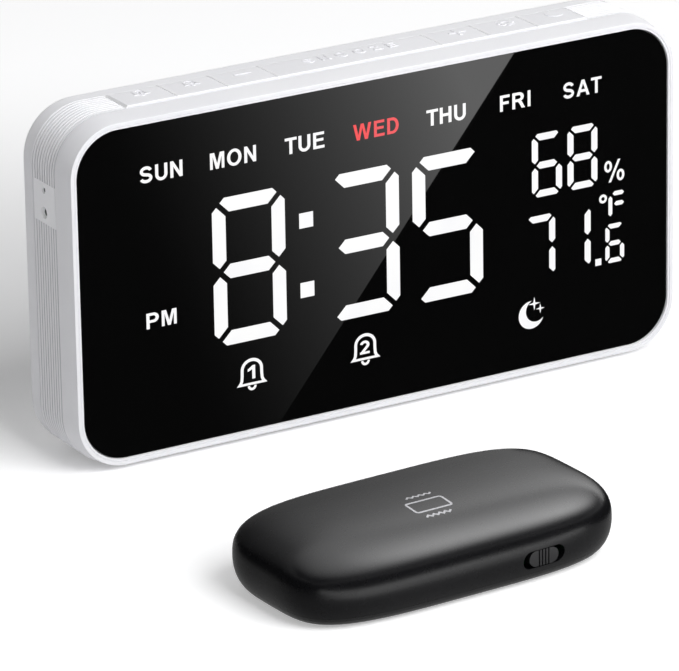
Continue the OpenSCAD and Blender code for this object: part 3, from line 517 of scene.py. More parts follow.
def window_sign(name, shapes, finish=lit_white):
    sign(name, shapes, on_face, 0.0, LABEL_THICK, finish, "clock")


for day, (x0, x1) in DAYS.items():
    window_sign(day + "_label", word_shapes(day.upper(), (x0, CAPS_LOW, x1, CAPS_HIGH)),
                lit_red if day == "wed" else lit_white)
window_sign("pm_label", word_shapes("PM", (-71.5, 34.4, -62.5, 38.75)))
per_cent_rings = [[arc(x, y, 1.25, 1.65, 0, 350, 35), arc(x, y, 0.5, 0.9, 350, 0, 35)]
                  for x, y in ((71.85, 52.95), (75.85, 50.0))]
per_cent_bar = [[(72.0, 48.35), (72.8, 48.35), (75.8, 54.6), (75.0, 54.6)]]
window_sign("per_cent_sign", per_cent_rings + [per_cent_bar])
print("labels:", len(DAYS) + 2)

# %% [markdown]
# ## Signs on the window
# Two bells say which alarm is set, a moon with two stars says that the display
# dims at night, and a small ring stands for degrees. Each is drawn from circles
# and pen lines in millimetres.

# %% Bells, moon, stars and degree ring


def bell_shapes(cx, z0, scale):
    """A dome on a flared skirt with the clapper below it."""
    dome = arc(cx, z0 + 6.45 * scale, 2.95 * scale, 2.65 * scale, 180, 0, 24)
    skirt = [(cx + x * scale, z0 + z * scale)
             for x, z in ((2.98, 4.9), (3.1, 3.5), (3.45, 2.75), (3.85, 2.35))]
    other_side = [(2 * cx - x, z) for x, z in skirt[::-1]]
    clapper = arc(cx, z0 + 1.8 * scale, scale, scale, 180, 360)
    return [stroke(other_side + dome + skirt, 0.85 * scale, closed=True),
            stroke(clapper, 0.7 * scale)]


def star(cx, cz, reach, waist):
    return [[(cx + r * math.sin(math.radians(a)), cz + r * math.cos(math.radians(a)))
             for a, r in zip(range(0, 360, 45), (reach, waist) * 4)]]


def crescent(cx, cz, r, bite_x, bite_z, bite_r, count=40):
    """A disc with a bite out of it that is a disc too."""
    gap = math.hypot(bite_x - cx, bite_z - cz)
    along = math.atan2(bite_z - cz, bite_x - cx)
    half = math.acos((gap * gap + r * r - bite_r * bite_r) / (2 * gap * r))
    inner = math.acos((gap * gap + bite_r * bite_r - r * r) / (2 * gap * bite_r))
    outside = [along + half + (2 * math.pi - 2 * half) * i / count for i in range(count + 1)]
    inside = [along + math.pi + inner - 2 * inner * i / count for i in range(1, count)]
    return [[(cx + r * math.cos(a), cz + r * math.sin(a)) for a in outside]
            + [(bite_x + bite_r * math.cos(a), bite_z + bite_r * math.sin(a)) for a in inside]]


for number, cx in ((1, -40.3), (2, -5.4)):
    number_box = (cx - 0.85 - 0.4 * number, 14.3, cx + 0.65 + 0.35 * number, 18.1)
    window_sign(f"bell_sign_{number}", bell_shapes(cx, 10.6, 1.0))
    window_sign(f"bell_number_{number}", word_shapes(str(number), number_box))
window_sign("moon_sign", [crescent(47.0, 15.0, 4.0, 48.55, 16.05, 3.25),
                          star(48.0, 18.05, 1.9, 0.45), star(49.9, 16.35, 1.4, 0.36)])
window_sign("degree_ring", [[circle(70.2, 44.0, 1.27, 32), circle(70.2, 44.0, 0.55, 32)[::-1]]])

# %% [markdown]
# ## The shaker pad's shells
# The real pad is two moulded shells that meet in a seam near the desk. Seen from
# above, its outline is a super-ellipse, squarer than an ellipse and rounder than
# a rectangle. A second super-ellipse gives the dome above the widest line, and
# the side rounds in below it. Rings of points spaced evenly along the outline
# give a smooth skin, and the shell has an inside too, as thick as the moulding.

# %% Rings of the pad
PAD = (-48.5, -114.5, 0.5)
PAD_TURN = math.radians(3)
PAD_HALF_LONG, PAD_HALF_WIDE, PAD_POWER = 48.6, 25.9, 3.96
PAD_HIGH, PAD_WIDEST, PAD_WALL, PAD_SEAM = 21.4, 9.0, 1.8, 3.0
LOW_INSET, DOME_POWER = 5.0, 2.8
PAD_AROUND = 256


def from_pad(x, y, z):
    """From the pad's own middle and underside to the shared frame."""
    c, s = math.cos(PAD_TURN), math.sin(PAD_TURN)
    return (PAD[0] + c * x - s * y, PAD[1] + s * x + c * y, PAD[2] + z)


def even_outline(steps=4000):
    """Points spaced evenly along the pad's outline, as shares of its half sizes."""
    line = []
    for i in range(steps + 1):
        c, s = math.cos(2 * math.pi * i / steps), math.sin(2 * math.pi * i / steps)
        line.append((PAD_HALF_LONG * math.copysign(abs(c) ** (2 / PAD_POWER), c),
                     PAD_HALF_WIDE * math.copysign(abs(s) ** (2 / PAD_POWER), s)))
    run = [0.0]
    for p, q in zip(line, line[1:]):
        run.append(run[-1] + math.dist(p, q))
    points, j = [], 0
    for k in range(PAD_AROUND):
        want = run[-1] * k / PAD_AROUND
        while run[j + 1] < want:
            j += 1
        part = (want - run[j]) / (run[j + 1] - run[j])
        (ax, ay), (bx, by) = line[j:j + 2]
        points.append(((ax + part * (bx - ax)) / PAD_HALF_LONG,
                       (ay + part * (by - ay)) / PAD_HALF_WIDE))
    return points


UNIT_RING = even_outline()


def pad_ring(inset, z):
    return [from_pad((PAD_HALF_LONG - inset) * x, (PAD_HALF_WIDE - inset) * y, z)
            for x, y in UNIT_RING]


def low_inset(z, t):
    """How far the side has rounded in at a height below the widest line."""
    return t + LOW_INSET * (1 - math.sqrt(1 - (1 - z / PAD_WIDEST) ** 2))


def dome_ring(degrees, t):
    """Ring on the domed part; 0 degrees is the widest line and 90 the middle."""
    q = math.radians(degrees)
    return pad_ring(t + (PAD_HALF_WIDE - t) * (1 - math.cos(q) ** (2 / DOME_POWER)),
                    PAD_WIDEST + (PAD_HIGH - t - PAD_WIDEST) * math.sin(q) ** (2 / DOME_POWER))


DOME_STEPS = [0.02, 0.1, 0.3, 0.7, 1.4, 2.5, 4, 6, 8.5, 11.5, 15, 19, 23, 27, 31, 35, 39, 43,
              47, 51, 55, 59, 63, 67, 71, 75, 79, 82.5, 85.5, 88, 89.5]
outer = [pad_ring(low_inset(PAD_SEAM + k * 0.5, 0), PAD_SEAM + k * 0.5) for k in range(13)]
outer += [dome_ring(q, 0) for q in DOME_STEPS]
inner = [dome_ring(q, PAD_WALL) for q in (88, 80, 70, 60, 50, 40, 30, 20, 12, 6, 2)]
inner += [pad_ring(low_inset(z, PAD_WALL), z) for z in (PAD_WIDEST, 7.5, 6.0, 4.5, PAD_SEAM)]
print("rings outside and inside:", len(outer), len(inner))

# %% Upper shell with its switch slot and charging inlet
SLOT = {"x": 19.25, "z": 7.0, "w": 12.9, "h": 4.9}
INLET = {"x": 0, "z": 6.6, "w": 9.6, "h": 3.8}


def shell_mesh(outside, inside):
    """A bowl with a wall: two stacks of rings, joined at the seam and closed on top."""
    points = [p for ring in outside + inside for p in ring]
    first = len(outside) * PAD_AROUND
    last = first + (len(inside) - 1) * PAD_AROUND
    faces = rings_to_faces(len(outside), PAD_AROUND)
    faces += rings_to_faces(len(inside), PAD_AROUND, first)
    faces += [(last + i, last + (i + 1) % PAD_AROUND, (i + 1) % PAD_AROUND, i)
              for i in range(PAD_AROUND)]
    for start_at, z in ((first - PAD_AROUND, PAD_HIGH), (first, PAD_HIGH - PAD_WALL)):
        points.append(from_pad(0, 0, z))
        centre = len(points) - 1
        edge = [(start_at + i, start_at + (i + 1) % PAD_AROUND) for i in range(PAD_AROUND)]
        faces += [(a, b, centre) if z == PAD_HIGH else (b, a, centre) for a, b in edge]
    return points, faces


def face_outwards(mesh):
    """Turn every face outwards, because cutting needs to know what is inside."""
    work = bmesh.new()
    work.from_mesh(mesh)
    bmesh.ops.recalc_face_normals(work, faces=work.faces)
    work.to_mesh(mesh)
    work.free()


def slot_cutter(name, x, z, w, h, near, far, along="y"):
    """A bar with round sides, for cutting a slot through a wall of the pad."""
    flat = (w - h) / 2
    loop = (arc(x + flat, z, h / 2, h / 2, -90, 90, 20)
            + arc(x - flat, z, h / 2, h / 2, 90, 270, 20))
    points = [from_pad(u, y, v) if along == "y" else from_pad(y, u, v)
              for y in (near, far) for u, v in loop]
    cutter = made_of(name, points, prism_faces(len(loop)))
    face_outwards(cutter.data)
    return cutter


def cut(made, cutters):
    for cutter in cutters:
        knife = made.modifiers.new("cut", "BOOLEAN")
        knife.operation = "DIFFERENCE"
        knife.solver = "EXACT"
        knife.object = cutter
    bake_modifiers(made)
    for cutter in cutters:
        bpy.data.objects.remove(cutter)
    shade_smooth(made, 35)


points, faces = shell_mesh(outer, inner)
upper_shell = piece("pad_upper_shell", points, faces, pad_abs, "pad", smooth=35)
cut(upper_shell, [
    slot_cutter("slot", **SLOT, near=-PAD_HALF_WIDE - 2, far=-PAD_HALF_WIDE + 5),
    slot_cutter("inlet", **INLET, near=PAD_HALF_LONG - 7, far=PAD_HALF_LONG + 2, along="x")])
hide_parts("pad_shell")
print("upper shell faces:", len(upper_shell.data.polygons))

# %% [markdown]
# ## Posts inside the pad
# Four tubes hang from the upper shell and take the screws that come up through
# the base. They are turned shapes: a short section carried round an axis. The
# same helpers make the clock's screw posts and side windows later on.

# %% Screw posts


def turned(profile, place, around=32, first=0):
    """Carry (radius, height) points round an axis."""
    points = [place(*p, h) for r, h in profile for p in circle(0, 0, r, around)]
    return points, rings_to_faces(len(profile), around, first)


def four_posts(name, profile, place, finish, body):
    """The same turned post in four corners."""
    points, faces = [], []
    for i, j in CORNERS:
        more_points, more_faces = turned(profile, lambda a, b, h: place(i, j, a, b, h),
                                         first=len(points))
        points += more_points
        faces += more_faces
    piece(name, points, faces, finish, body, smooth=35)


POST_X, POST_Y, POST_LOW, POST_TOP, POST_R, POST_BORE = 38.1, 12.3, 5.0, 17.4, 2.6, 1.5
four_posts("pad_screw_posts",
           [(POST_R, POST_LOW), (POST_R, POST_TOP), (POST_BORE, POST_TOP), (POST_BORE, POST_LOW),
            (POST_R, POST_LOW)],
           lambda i, j, a, b, h: from_pad(i * POST_X + a, j * POST_Y + b, h),
           pad_abs, "pad")
print("posts hang from", POST_TOP, "down to", POST_LOW)

# %% [markdown]
# ## The sign on the pad
# A light grey sign is pad printed on the top of the shell: a box with rounded
# corners and a shaking line behind it and in front of it. A print follows the
# dome, so each point of the sign looks up how high the dome is below it.

# %% Print the shaking box
BOX = (-9.45, -11.55, 1.15, -6.0)
BOX_ROUND, INK_WIDE, INK_THICK = 0.75, 0.62, 0.03


def dome_height(x, y):
    """Height of the dome over a point, found by halving the ring it lies on."""
    low, high = 0.0, PAD_HALF_WIDE - 0.01
    for _ in range(30):
        ins = (low + high) / 2
        reach = (abs(x / (PAD_HALF_LONG - ins)) ** PAD_POWER
                 + abs(y / (PAD_HALF_WIDE - ins)) ** PAD_POWER)
        low, high = (ins, high) if reach < 1 else (low, ins)
    fall = (1 - low / PAD_HALF_WIDE) ** DOME_POWER
    return PAD_WIDEST + (PAD_HIGH - PAD_WIDEST) * (1 - fall) ** (1 / DOME_POWER)


def on_dome(u, v, h):
    return from_pad(u, v, dome_height(u, v) + h)


def fine(line, step=0.6):
    """Put extra points along a line so that it can follow a curved surface."""
    out = []
    for p, q in zip(line, line[1:]):
        count = max(1, round(math.dist(p, q) / step))
        out += [(p[0] + (q[0] - p[0]) * i / count, p[1] + (q[1] - p[1]) * i / count)
                for i in range(count)]
    return out + [line[-1]]


def strips(line, width, closed=False):
    """A pen line as short four-sided pieces that share their corners."""
    if closed:
        pairs = list(zip(*stroke(line, width, closed=True)))
        pairs.append(pairs[0])
    else:
        loop, = stroke(line, width)
        pairs = list(zip(loop[:len(line)], loop[len(line):][::-1]))
    return [[[a, c, d, b]] for (a, b), (c, d) in zip(pairs, pairs[1:])]


def shaking_line(x0, x1, y, high, count=9):
    return fine([(x0 + (x1 - x0) * i / count, y + (high if i % 2 else -high) / 2)
                 for i in range(count + 1)], 0.5)


x0, y0, x1, y1 = BOX
corners = []
for cx, cy, a in ((x1 - BOX_ROUND, y1 - BOX_ROUND, 0), (x0 + BOX_ROUND, y1 - BOX_ROUND, 90),
                  (x0 + BOX_ROUND, y0 + BOX_ROUND, 180), (x1 - BOX_ROUND, y0 + BOX_ROUND, 270)):
    corners += arc(cx, cy, BOX_ROUND, BOX_ROUND, a, a + 90, 6)
shaking = (strips(fine(corners + corners[:1])[:-1], INK_WIDE, closed=True)
           + strips(shaking_line(-7.2, 0.45, -3.0, 0.75), 0.52)
           + strips(shaking_line(-8.4, -0.8, -14.0, 0.8), 0.56))
sign("pad_shaking_sign", shaking, on_dome, 0.0, INK_THICK, pad_ink, "pad")
print("height of the dome under the sign:", round(dome_height(-4.2, -8.8), 2))

# %% [markdown]
# ## The front frame
# The frame is one moulded ring. Its section is drawn once and carried round the
# rounded rectangle of the case: a band that leans in a little, a narrow white
# rim, a hairline groove and a lip round the window. Behind the window are the
# shelf it lies on and four bored posts for the case screws. The foot's pad of
# rubber reaches into the frame from below, and a recess is cut for it.

# %% Carry the section round the case
CASE_W, CASE_H, CASE_R, CASE_MID_Z = 187.0, 96.0, 14.7, 48.6
V_RIM, V_FACE, V_SHELF, V_LEDGE = 13.5, 13.0, 11.2, 9.6
SECTION = [(0.25, RIBS_FRONT), (0.0, RIBS_FRONT + 0.25), (0.0, 8.0), (0.82, 13.43),
           (0.89, V_RIM), (1.82, V_RIM), (1.87, 13.3), (1.95, 13.3), (2.0, 13.44), (2.5, 13.44),
           (2.6, V_FACE), (2.6, V_SHELF), (6.0, V_SHELF), (6.0, V_LEDGE), (2.4, V_LEDGE),
           (2.4, RIBS_FRONT)]
RECESS_HALF_LONG, RECESS_LOW, RECESS_TOP = 75.1, 0.5, 1.2
RECESS_MID_Y, RECESS_HALF_WIDE = -7.95, 2.16
CASE_POST_X, CASE_POST_Z, CASE_POST_R, CASE_POST_BORE = 83.0, 37.5, 3.2, 1.5
CASE_POST_BACK, CASE_BORE_END, NEARLY_ZERO = -7.9, 7.6, 0.001


def case_loop(inset, v, steps=20):
    """One ring round the case at a distance inside its outline."""
    out = []
    for (sx, sz), a0 in zip(((1, 1), (-1, 1), (-1, -1), (1, -1)), (0, 90, 180, 270)):
        middle = sx * (CASE_W / 2 - CASE_R), CASE_MID_Z + sz * (CASE_H / 2 - CASE_R)
        out += [(x, -v, z) for x, z in arc(*middle, CASE_R - inset, CASE_R - inset, a0, a0 + 90,
                                           steps)]
    return out


rings = [case_loop(*p) for p in SECTION + SECTION[:1]]
front_piece = piece("front_frame_moulding", [p for ring in rings for p in ring],
                    rings_to_faces(len(rings), len(rings[0])), housing_abs, "clock")
weld = front_piece.modifiers.new("weld", "WELD")
weld.merge_threshold = 0.001 * MM
bake_modifiers(front_piece)
face_outwards(front_piece.data)
recess = made_of("foot_recess", [
    (a * RECESS_HALF_LONG, RECESS_MID_Y + b * RECESS_HALF_WIDE, z)
    for z in (RECESS_LOW, RECESS_TOP) for a, b in CORNERS], prism_faces(4))
face_outwards(recess.data)
cut(front_piece, [recess])
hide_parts("front_frame")
four_posts("case_screw_posts",
           [(NEARLY_ZERO, CASE_BORE_END), (CASE_POST_BORE, CASE_BORE_END),
            (CASE_POST_BORE, CASE_POST_BACK), (CASE_POST_R, CASE_POST_BACK),
            (CASE_POST_R, V_SHELF), (NEARLY_ZERO, V_SHELF)],
           lambda i, j, a, b, v: (i * CASE_POST_X + a, -v, CASE_MID_Z + j * CASE_POST_Z + b),
           housing_abs, "clock")
print("frame faces:", len(front_piece.data.polygons))

# %% [markdown]
# ## The button caps
# Seven caps fill a trough in the ribbed band. Each real cap is moulded with a
# top that falls away to the back and a rounded edge all round. The section of
# the cap is drawn once, drawn out to its width and given its rounding by a bevel.
# A square stem below it reaches down to the switch.

# %% Caps with rounded edges
BAND_TOP, ROW_Y, CAP_DEPTH, CAP_LOW = 96.6, 0.25, 11.8, 1.05
CAP_RISE, CAP_ROUND, CAP_NOSE, CAP_ROUND_STEPS = 0.56, 0.14, 0.36, 4
STEM_LOW, STEM_HALF = 91.0, 1.5
CAPS = {"alarm_one": (-63.9, 14.6), "alarm_two": (-48.8, 14.6), "minus": (-33.7, 14.6),
        "snooze": (-0.95, 49.9), "plus": (31.8, 14.6), "settings": (46.9, 14.6),
        "dimmer": (62.0, 14.6)}


def cap_height(y):
    """Height of a cap's top at a distance from its middle line."""
    back = y / CAP_DEPTH + 0.5
    return BAND_TOP + CAP_RISE - 0.06 * back ** 2 - 0.28 * back ** 8


def cap_mesh(x, width):
    half = CAP_DEPTH / 2
    section = [(-half, BAND_TOP - CAP_LOW), (half, BAND_TOP - CAP_LOW)]
    section += [(y, cap_height(y)) for y in (half - CAP_DEPTH * i / 12 for i in range(12))]
    section += [(-half + CAP_NOSE * (1 - math.sin(a)),
                 cap_height(-half) - CAP_NOSE * (1 - math.cos(a)))
                for a in (math.radians(15 * i) for i in range(7))]
    points = [(x + s * width / 2, ROW_Y + y, z) for s in (-1, 1) for y, z in section]
    faces = prism_faces(len(section)) + prism_faces(4, len(points))
    points += [(x + a * STEM_HALF, ROW_Y + b * STEM_HALF, z)
               for z in (STEM_LOW, BAND_TOP - CAP_LOW) for a, b in CORNERS]
    return points, faces


for name, (x, width) in CAPS.items():
    points, faces = cap_mesh(x, width)
    cap = piece(name + "_cap", points, faces, button_abs, name + "_button_key")
    rounding = cap.modifiers.new("rounding", "BEVEL")
    rounding.width = CAP_ROUND * MM
    rounding.segments = CAP_ROUND_STEPS
    rounding.limit_method = "ANGLE"
    rounding.angle_limit = math.radians(50)
    bake_modifiers(cap)
    shade_smooth(cap, 40)
    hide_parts(name + "_button")
print("caps:", sorted(CAPS))

# %% [markdown]
# ## Ribs between the caps and signs on them
# Thin ribs of the case stand between the caps and keep a finger from sliding off
# one key onto the next; their tops are ridges that catch the light, and they are
# painted a lighter white than the caps, a painted highlight. Each cap has a low
# moulded sign that can be felt in the dark. The signs are flat outlines again,
# laid on the crown of the cap.

# %% Ribs and moulded signs
BAR_WIDE, BAR_LOW, BAR_RISE, BAR_STEPS = 0.46, 95.6, 0.1, 13
SIGN_V, SIGN_RISE, SIGN_FOOT = 1.6, 0.18, -0.05


def bar_section(high):
    """Section of a rib between two caps, with its two edges broken."""
    half = BAR_WIDE / 2
    return [(-half, BAR_LOW), (-half, high - 0.05), (-half * 0.8, high), (half * 0.8, high),
            (half, high - 0.05), (half, BAR_LOW)]


def end_section(high, side):
    """Section of the slope from the end of the row down to the ribbed band."""
    return [(side * a, z) for a, z in ((0.03, BAR_LOW), (0.03, high - 0.05), (0.1, high - 0.02),
                                       (0.55, BAND_TOP + 0.02), (0.55, BAND_TOP - 0.1),
                                       (0.2, BAR_LOW))]


ends = {name: [x - width / 2, x + width / 2] for name, (x, width) in CAPS.items()}
names = list(CAPS)
bars = [((ends[a][1] + ends[b][0]) / 2, bar_section) for a, b in zip(names, names[1:])]
bars += [(ends[names[0]][0], lambda high: end_section(high, -1)),
         (ends[names[-1]][1], lambda high: end_section(high, 1))]
bar_points, bar_faces = [], []
for x, section in bars:
    first = len(bar_points)
    for i in range(BAR_STEPS):
        y = CAP_DEPTH * (0.5 - i / (BAR_STEPS - 1))
        bar_points += [(x + a, ROW_Y + y, z) for a, z in section(cap_height(y) + BAR_RISE)]
    bar_faces += rings_to_faces(BAR_STEPS, 6, first)
    bar_faces += [tuple(range(first, first + 6))[::-1],
                  tuple(range(len(bar_points) - 6, len(bar_points)))]
piece("key_dividers", bar_points, bar_faces, divider_abs_painted_highlight, "clock")


def on_cap(u, v, h):
    return (u, ROW_Y + v, cap_height(v) + h)


def cap_sign(key, shapes):
    sign(key + "_raised_sign", shapes, on_cap, SIGN_FOOT, SIGN_RISE, button_abs,
         key + "_button_key")


for number, key, cx in ((1, "alarm_one", -63.6), (2, "alarm_two", -48.6)):
    number_box = (cx - 0.45 - 0.15 * number, SIGN_V - 0.5, cx + 0.3 + 0.15 * number, SIGN_V + 1.4)
    cap_sign(key, bell_shapes(cx, SIGN_V - 2.4, 0.52) + word_shapes(str(number), number_box))
cap_sign("minus", [stroke([(-35.6, SIGN_V), (-30.6, SIGN_V)], 0.9)])
cap_sign("snooze", word_shapes("SNOOZE", (-14.4, SIGN_V - 1.8, 14.0, SIGN_V + 1.8), apart=0.62))
plus_lines = [[(30.6, SIGN_V), (35.6, SIGN_V)]]
plus_lines += [[(33.1, SIGN_V + a), (33.1, SIGN_V + b)] for a, b in ((0.45, 2.5), (-0.45, -2.5))]
cap_sign("plus", [stroke(line, 0.9) for line in plus_lines])
gear_x, gear_steps = 48.4, ((-14, 1.9), (-9, 2.6), (9, 2.6), (14, 1.9))
teeth = [(gear_x + r * math.cos(math.radians(45 * k + a)),
          SIGN_V + r * math.sin(math.radians(45 * k + a))) for k in range(8) for a, r in gear_steps]
cap_sign("settings", [[teeth, circle(gear_x, SIGN_V, 1.05, 24)[::-1]]])
cap_sign("dimmer", [crescent(63.8, SIGN_V, 2.5, 65.0, SIGN_V + 0.7, 2.0)])

# %% [markdown]
# ## Windows of the side openings
# Behind the two openings on the left side sit a microphone and a light sensor.
# Each opening narrows like a funnel to a small dark window. The back of the
# funnel faces the light and shows as a bright crescent beside the dark window.

# %% Funnels and windows
SIDE_X, SIDE_Y, FUNNEL_END = -CASE_W / 2, 0.45, -1.2
for name, z, r in (("microphone", 76.45, 0.97), ("light_sensor", 70.2, 1.56)):
    deep, small = 0.45 * r, 0.66 * r
    for part, finish, profile in (
            ("funnel", lens_white, [(r, -0.03), (small, -deep), (small, FUNNEL_END),
                                    (r, FUNNEL_END), (r, -0.03)]),
            ("window", lens_dark, [(NEARLY_ZERO, -deep), (small - 0.01, -deep),
                                   (small - 0.01, FUNNEL_END), (NEARLY_ZERO, FUNNEL_END)])):
        points, faces = turned(profile, lambda a, b, h: (SIDE_X - h, SIDE_Y + a, z + b))
        piece(name + "_" + part, points, faces, finish, "clock", smooth=40)
print("funnels and windows on the left side made")

# %% [markdown]
# ## The stage
# A plain white floor carries the clock and catches its shadow. It is lifted to
# white for the camera and for mirrors by a little glow of its own, so that no
# extra light falls on the object. The glow fades behind the clock, a painted
# shadow laid over the soft shade of the case.

# %% Floor and world
ROOM_LIGHT, SHADE_LIFT, FLOOR_LIFT = 0.27, 0.09, 0.38
SHADE_AT, SHADE_IN, SHADE_OUT = (-30, 120, 0), 20, 220
FLOOR_HALF = 6000


def seen(tree):
    """1 where the camera, a mirror or a clear piece looks, and 0 for all other light."""
    path = add(tree, "LightPath").outputs
    eye = maths(tree, "MAXIMUM", path["Is Camera Ray"], path["Is Glossy Ray"])
    return maths(tree, "MAXIMUM", eye, path["Is Transmission Ray"])


def shine(tree, strength, colour="#FFFFFF"):
    colour = linear(colour) if isinstance(colour, str) else colour
    return add(tree, "Emission", {"Color": colour, "Strength": strength}).outputs[0]


def close(tree, shader, other=None):
    """Join a shader, or the sum of two, to the output."""
    if other is not None:
        shader = add(tree, "AddShader", {0: shader, 1: other}).outputs[0]
    add(tree, "OutputMaterial", {"Surface": shader})


floor_paint, tree, place = start("white_floor_matt_painted_shadow")
# Painted shadow: the glow is weakest round SHADE_AT behind the clock and grows to FLOOR_LIFT further
# out.
away = add(tree, "VectorMath", {0: place, 1: Vector(SHADE_AT) * MM}, operation="DISTANCE")
lift = between(tree, away.outputs["Value"], SHADE_LIFT, FLOOR_LIFT,
               (SHADE_IN * MM, SHADE_OUT * MM), "SMOOTHSTEP")
matt = add(tree, "BsdfDiffuse", {"Color": linear("#F2F2F3")}).outputs[0]
close(tree, matt, shine(tree, maths(tree, "MULTIPLY", seen(tree), lift)))
floor = made_of("floor", [(a * FLOOR_HALF, b * FLOOR_HALF, 0) for a, b in CORNERS],
                [(0, 1, 2, 3)])
floor.data.materials.append(floor_paint)

world = bpy.data.worlds.new("studio_world")
bpy.context.scene.world = world
world.use_nodes = True
tree = world.node_tree
tree.nodes.clear()
room = add(tree, "Background", {"Color": linear("#FFFFFF"),
                                "Strength": between(tree, seen(tree), ROOM_LIGHT, 1.0)})
add(tree, "OutputWorld", {"Surface": room.outputs[0]})
print("floor and world made")

# %% [markdown]
# ## Studio light
# One large soft box stands in front and above, a little to the right. It makes
# the front the brightest side and the top a little darker. Its light only
# grazes the left side, which stays grey while the ribs on it show.

# %% Soft box
BOX_AIM, BOX_FROM, BOX_AWAY = Vector((0, 0, 40)) * MM, Vector((0.14, -0.73, 0.67)), 1600 * MM
lamp = bpy.data.lights.new("soft_box_front", "AREA")
lamp.shape = "SQUARE"
lamp.size = 1.1
lamp.energy = 24.9
key_light = bpy.data.objects.new("soft_box_front", lamp)
direction = BOX_FROM.normalized()
key_light.matrix_world = (Matrix.Translation(BOX_AIM + direction * BOX_AWAY)
                          @ direction.to_track_quat("Z", "Y").to_matrix().to_4x4())
key_light.visible_glossy = False
bpy.context.scene.collection.objects.link(key_light)
print("soft box in mm:", [round(v / MM) for v in key_light.matrix_world.translation])

# %% [markdown]
# ## A glare card
# The streak across the window is the reflection of a bright sheet with a
# straight edge. A card leans up from the clock's foot towards the viewer, seen
# by mirrors only. Its front pattern is worked out backwards: each point on the
# card is turned into the point on the window where it is reflected. The black
# pad shows little but its surroundings, and its top reflects the back of this
# card, which grows brighter upwards and to the right.

# %% The leaning card
VIEW = -to_camera
CARD_LOW_Y, CARD_LOW_Z, CARD_RUN, CARD_RISE = -14.0, 1.0, 72.0, 67.7
CARD_LEFT, CARD_RIGHT = -300, 400
GLARE_FADE_FROM, GLARE_SPAN, GLARE_POWER, GLARE_LIGHT = -75.0, 120.0, 2.2, 2.66
GLARE_LEAN, GLARE_LEAN_FROM = 0.4, 45.0
GLARE_EDGE_X, GLARE_EDGE_SLOPE = -32.2, 0.819
BACK_TOP, BACK_LEFT, BACK_RIGHT, BACK_LIGHTS = 68.7, -100, 70, (0.84, 6.0)
BACK_SHADES = ((0.0, "#202020"), (0.35, "#505050"), (0.55, "#646464"), (0.72, "#8C8C8C"),
               (0.85, "#BCBCBC"), (1.0, "#E8E8E8"))


def glare(tree, x, y, z):
    """Brightness of the card's front, from where it shows on the window."""
    ahead = maths(tree, "SUBTRACT", FACE_Y * MM, y)
    across = maths(tree, "SUBTRACT", x, maths(tree, "MULTIPLY", ahead, VIEW.x / VIEW.y))
    rise = maths(tree, "ADD", z, maths(tree, "MULTIPLY", ahead, -VIEW.z / VIEW.y))
    rise = maths(tree, "SUBTRACT", rise, FACE_LOW_Z * MM)
    lean = maths(tree, "SUBTRACT", rise, GLARE_LEAN_FROM * MM)
    lean = maths(tree, "ADD", across, maths(tree, "MULTIPLY", lean, GLARE_LEAN))
    ramp = maths(tree, "SUBTRACT", lean, GLARE_FADE_FROM * MM)
    ramp = maths(tree, "MULTIPLY", ramp, 1 / (GLARE_SPAN * MM), clamp=True)
    ramp = maths(tree, "POWER", ramp, GLARE_POWER)
    edge = maths(tree, "MULTIPLY", rise, GLARE_EDGE_SLOPE)
    edge = maths(tree, "ADD", edge, GLARE_EDGE_X * MM)
    ramp = maths(tree, "MULTIPLY", ramp, maths(tree, "LESS_THAN", across, edge))
    return maths(tree, "MULTIPLY", ramp, GLARE_LIGHT)


def card(name, corners, paint):
    """A sheet that only mirrors see."""
    made = made_of(name, corners, [(0, 1, 2, 3)])
    made.data.materials.append(paint)
    made.visible_camera = False
    made.visible_diffuse = False
    made.visible_shadow = False
    made.visible_transmission = False
    made.visible_volume_scatter = False
    return made


card_paint, tree, place = start("glare_card_gradient")
x, y, z = split(tree, place)
upward = shades(tree, maths(tree, "MULTIPLY", z, 1 / (BACK_TOP * MM), clamp=True), *BACK_SHADES)
rightward = between(tree, x, *BACK_LIGHTS, (BACK_LEFT * MM, BACK_RIGHT * MM))
sides = add(tree, "NewGeometry")
close(tree, add(tree, "MixShader", {
    0: sides.outputs["Backfacing"], 1: shine(tree, glare(tree, x, y, z)),
    2: shine(tree, rightward, upward)}).outputs[0])
glare_card = card("glare_card", [
    (CARD_LEFT, CARD_LOW_Y, CARD_LOW_Z), (CARD_LEFT, CARD_LOW_Y - CARD_RUN, CARD_LOW_Z + CARD_RISE),
    (CARD_RIGHT, CARD_LOW_Y - CARD_RUN, CARD_LOW_Z + CARD_RISE),
    (CARD_RIGHT, CARD_LOW_Y, CARD_LOW_Z)], card_paint)
print("the card faces", [round(v, 2) for v in glare_card.data.polygons[0].normal])

# %% [markdown]
# ## A canopy over the pad
# The right half of the pad's top and its upper edge reflect what hangs above:
# one broad soft light and a smaller, brighter one to the right of it. Each has
# its middle, its reach in width and depth, and its strength.

# %% Canopy with two soft lights
CANOPY_Z, CANOPY_FADE = 260.0, 1.5
CANOPY_CORNERS = ((-950, -900), (1000, -900), (1000, 170), (-950, 170))
CANOPY_LIGHTS = (((70, -190), (620, 500), 5.7), ((200, -220), (280, 260), 9.6))

canopy_paint, tree, place = start("canopy_two_soft_lights")
parts = []
for (x, y), (wide, deep), light in CANOPY_LIGHTS:
    lie = add(tree, "Mapping", {"Vector": place, "Scale": (per_mm(wide), per_mm(deep), 0),
                                "Location": (-x / wide, -y / deep, 0)})
    spot = add(tree, "TexGradient", {"Vector": lie.outputs[0]}, gradient_type="SPHERICAL")
    soft = maths(tree, "POWER", spot.outputs["Fac"], CANOPY_FADE)
    parts.append(maths(tree, "MULTIPLY", soft, light))
close(tree, shine(tree, maths(tree, "ADD", *parts)))
card("canopy_card", [(x, y, CANOPY_Z) for x, y in CANOPY_CORNERS], canopy_paint)
print("lights in the canopy:", len(parts))

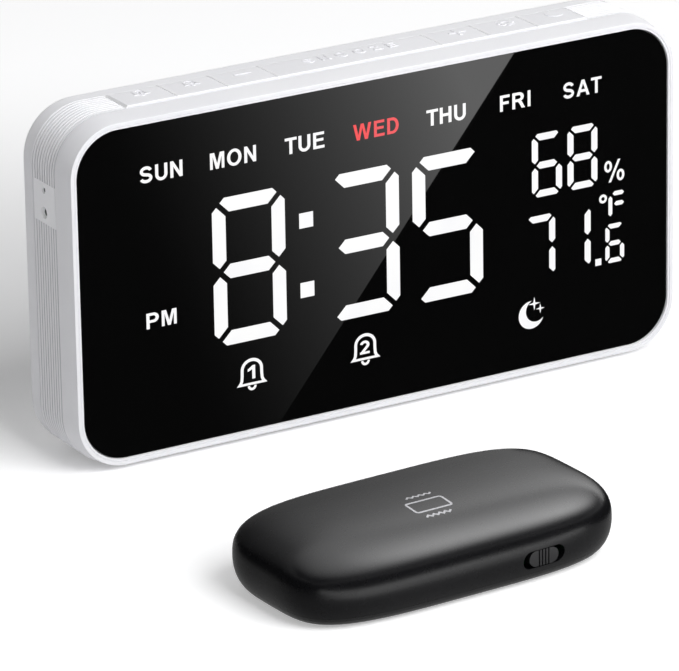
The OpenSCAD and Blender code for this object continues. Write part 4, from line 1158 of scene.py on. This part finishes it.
# %% [markdown]
# ## A fence round the pad
# A low fence of black felt stands in front of the pad and at its ends, and
# gives its edge a black line. A grey mat lies inside it. The mat is white along
# the front, and so is the fence's foot, which puts the long highlight below the
# black line.

# %% Fence and mat
FENCE_OFF, FENCE_HIGH, FENCE_FOOT, FOOT_LIGHT = 29.0, 21.0, 3.5, 3.6
MAT_LIGHT, MAT_DIM, MAT_DIM_WIDE, MAT_Z = 0.4, 0.45, 50, 0.3
MAT_EDGE_FROM, MAT_EDGE_TO = 4, 13
left, right = PAD[0] - PAD_HALF_LONG - FENCE_OFF, PAD[0] + PAD_HALF_LONG + FENCE_OFF
front, mat_back, fence_back = PAD[1] - PAD_HALF_WIDE - FENCE_OFF, CARD_LOW_Y - 1, CARD_LOW_Y - 20

fence_felt, tree, place = start("fence_black_felt_white_foot")
x, y, z = split(tree, place)
foot = maths(tree, "MULTIPLY", maths(tree, "LESS_THAN", z, FENCE_FOOT * MM),
             maths(tree, "LESS_THAN", y, (front + 0.5) * MM))
felt = shades(tree, noise(tree, place, 8, 2.0), (0.0, "#050505"), (1.0, "#0B0B0B"))
close(tree, add(tree, "BsdfDiffuse", {"Color": felt}).outputs[0],
      shine(tree, maths(tree, "MULTIPLY", foot, FOOT_LIGHT)))

mat_felt, tree, place = start("grey_felt_mat_white_edge")
x, y, z = split(tree, place)
near = between(tree, y, FOOT_LIGHT, MAT_LIGHT,
               ((front + MAT_EDGE_FROM) * MM, (front + MAT_EDGE_TO) * MM), "SMOOTHSTEP")
side = between(tree, x, MAT_DIM, 1.0, (left * MM, (left + MAT_DIM_WIDE) * MM))
close(tree, shine(tree, maths(tree, "MULTIPLY", near, side)))

card("mat_card", [(left, front, MAT_Z), (right, front, MAT_Z), (right, mat_back, MAT_Z),
                  (left, mat_back, MAT_Z)], mat_felt)
for name, a, b in (("fence_front", (left, front), (right, front)),
                   ("fence_left", (left, fence_back), (left, front)),
                   ("fence_right", (right, front), (right, fence_back))):
    card(name, [(*a, MAT_Z), (*b, MAT_Z), (*b, FENCE_HIGH), (*a, FENCE_HIGH)], fence_felt)
print("fence from", round(left, 1), "to", round(right, 1))
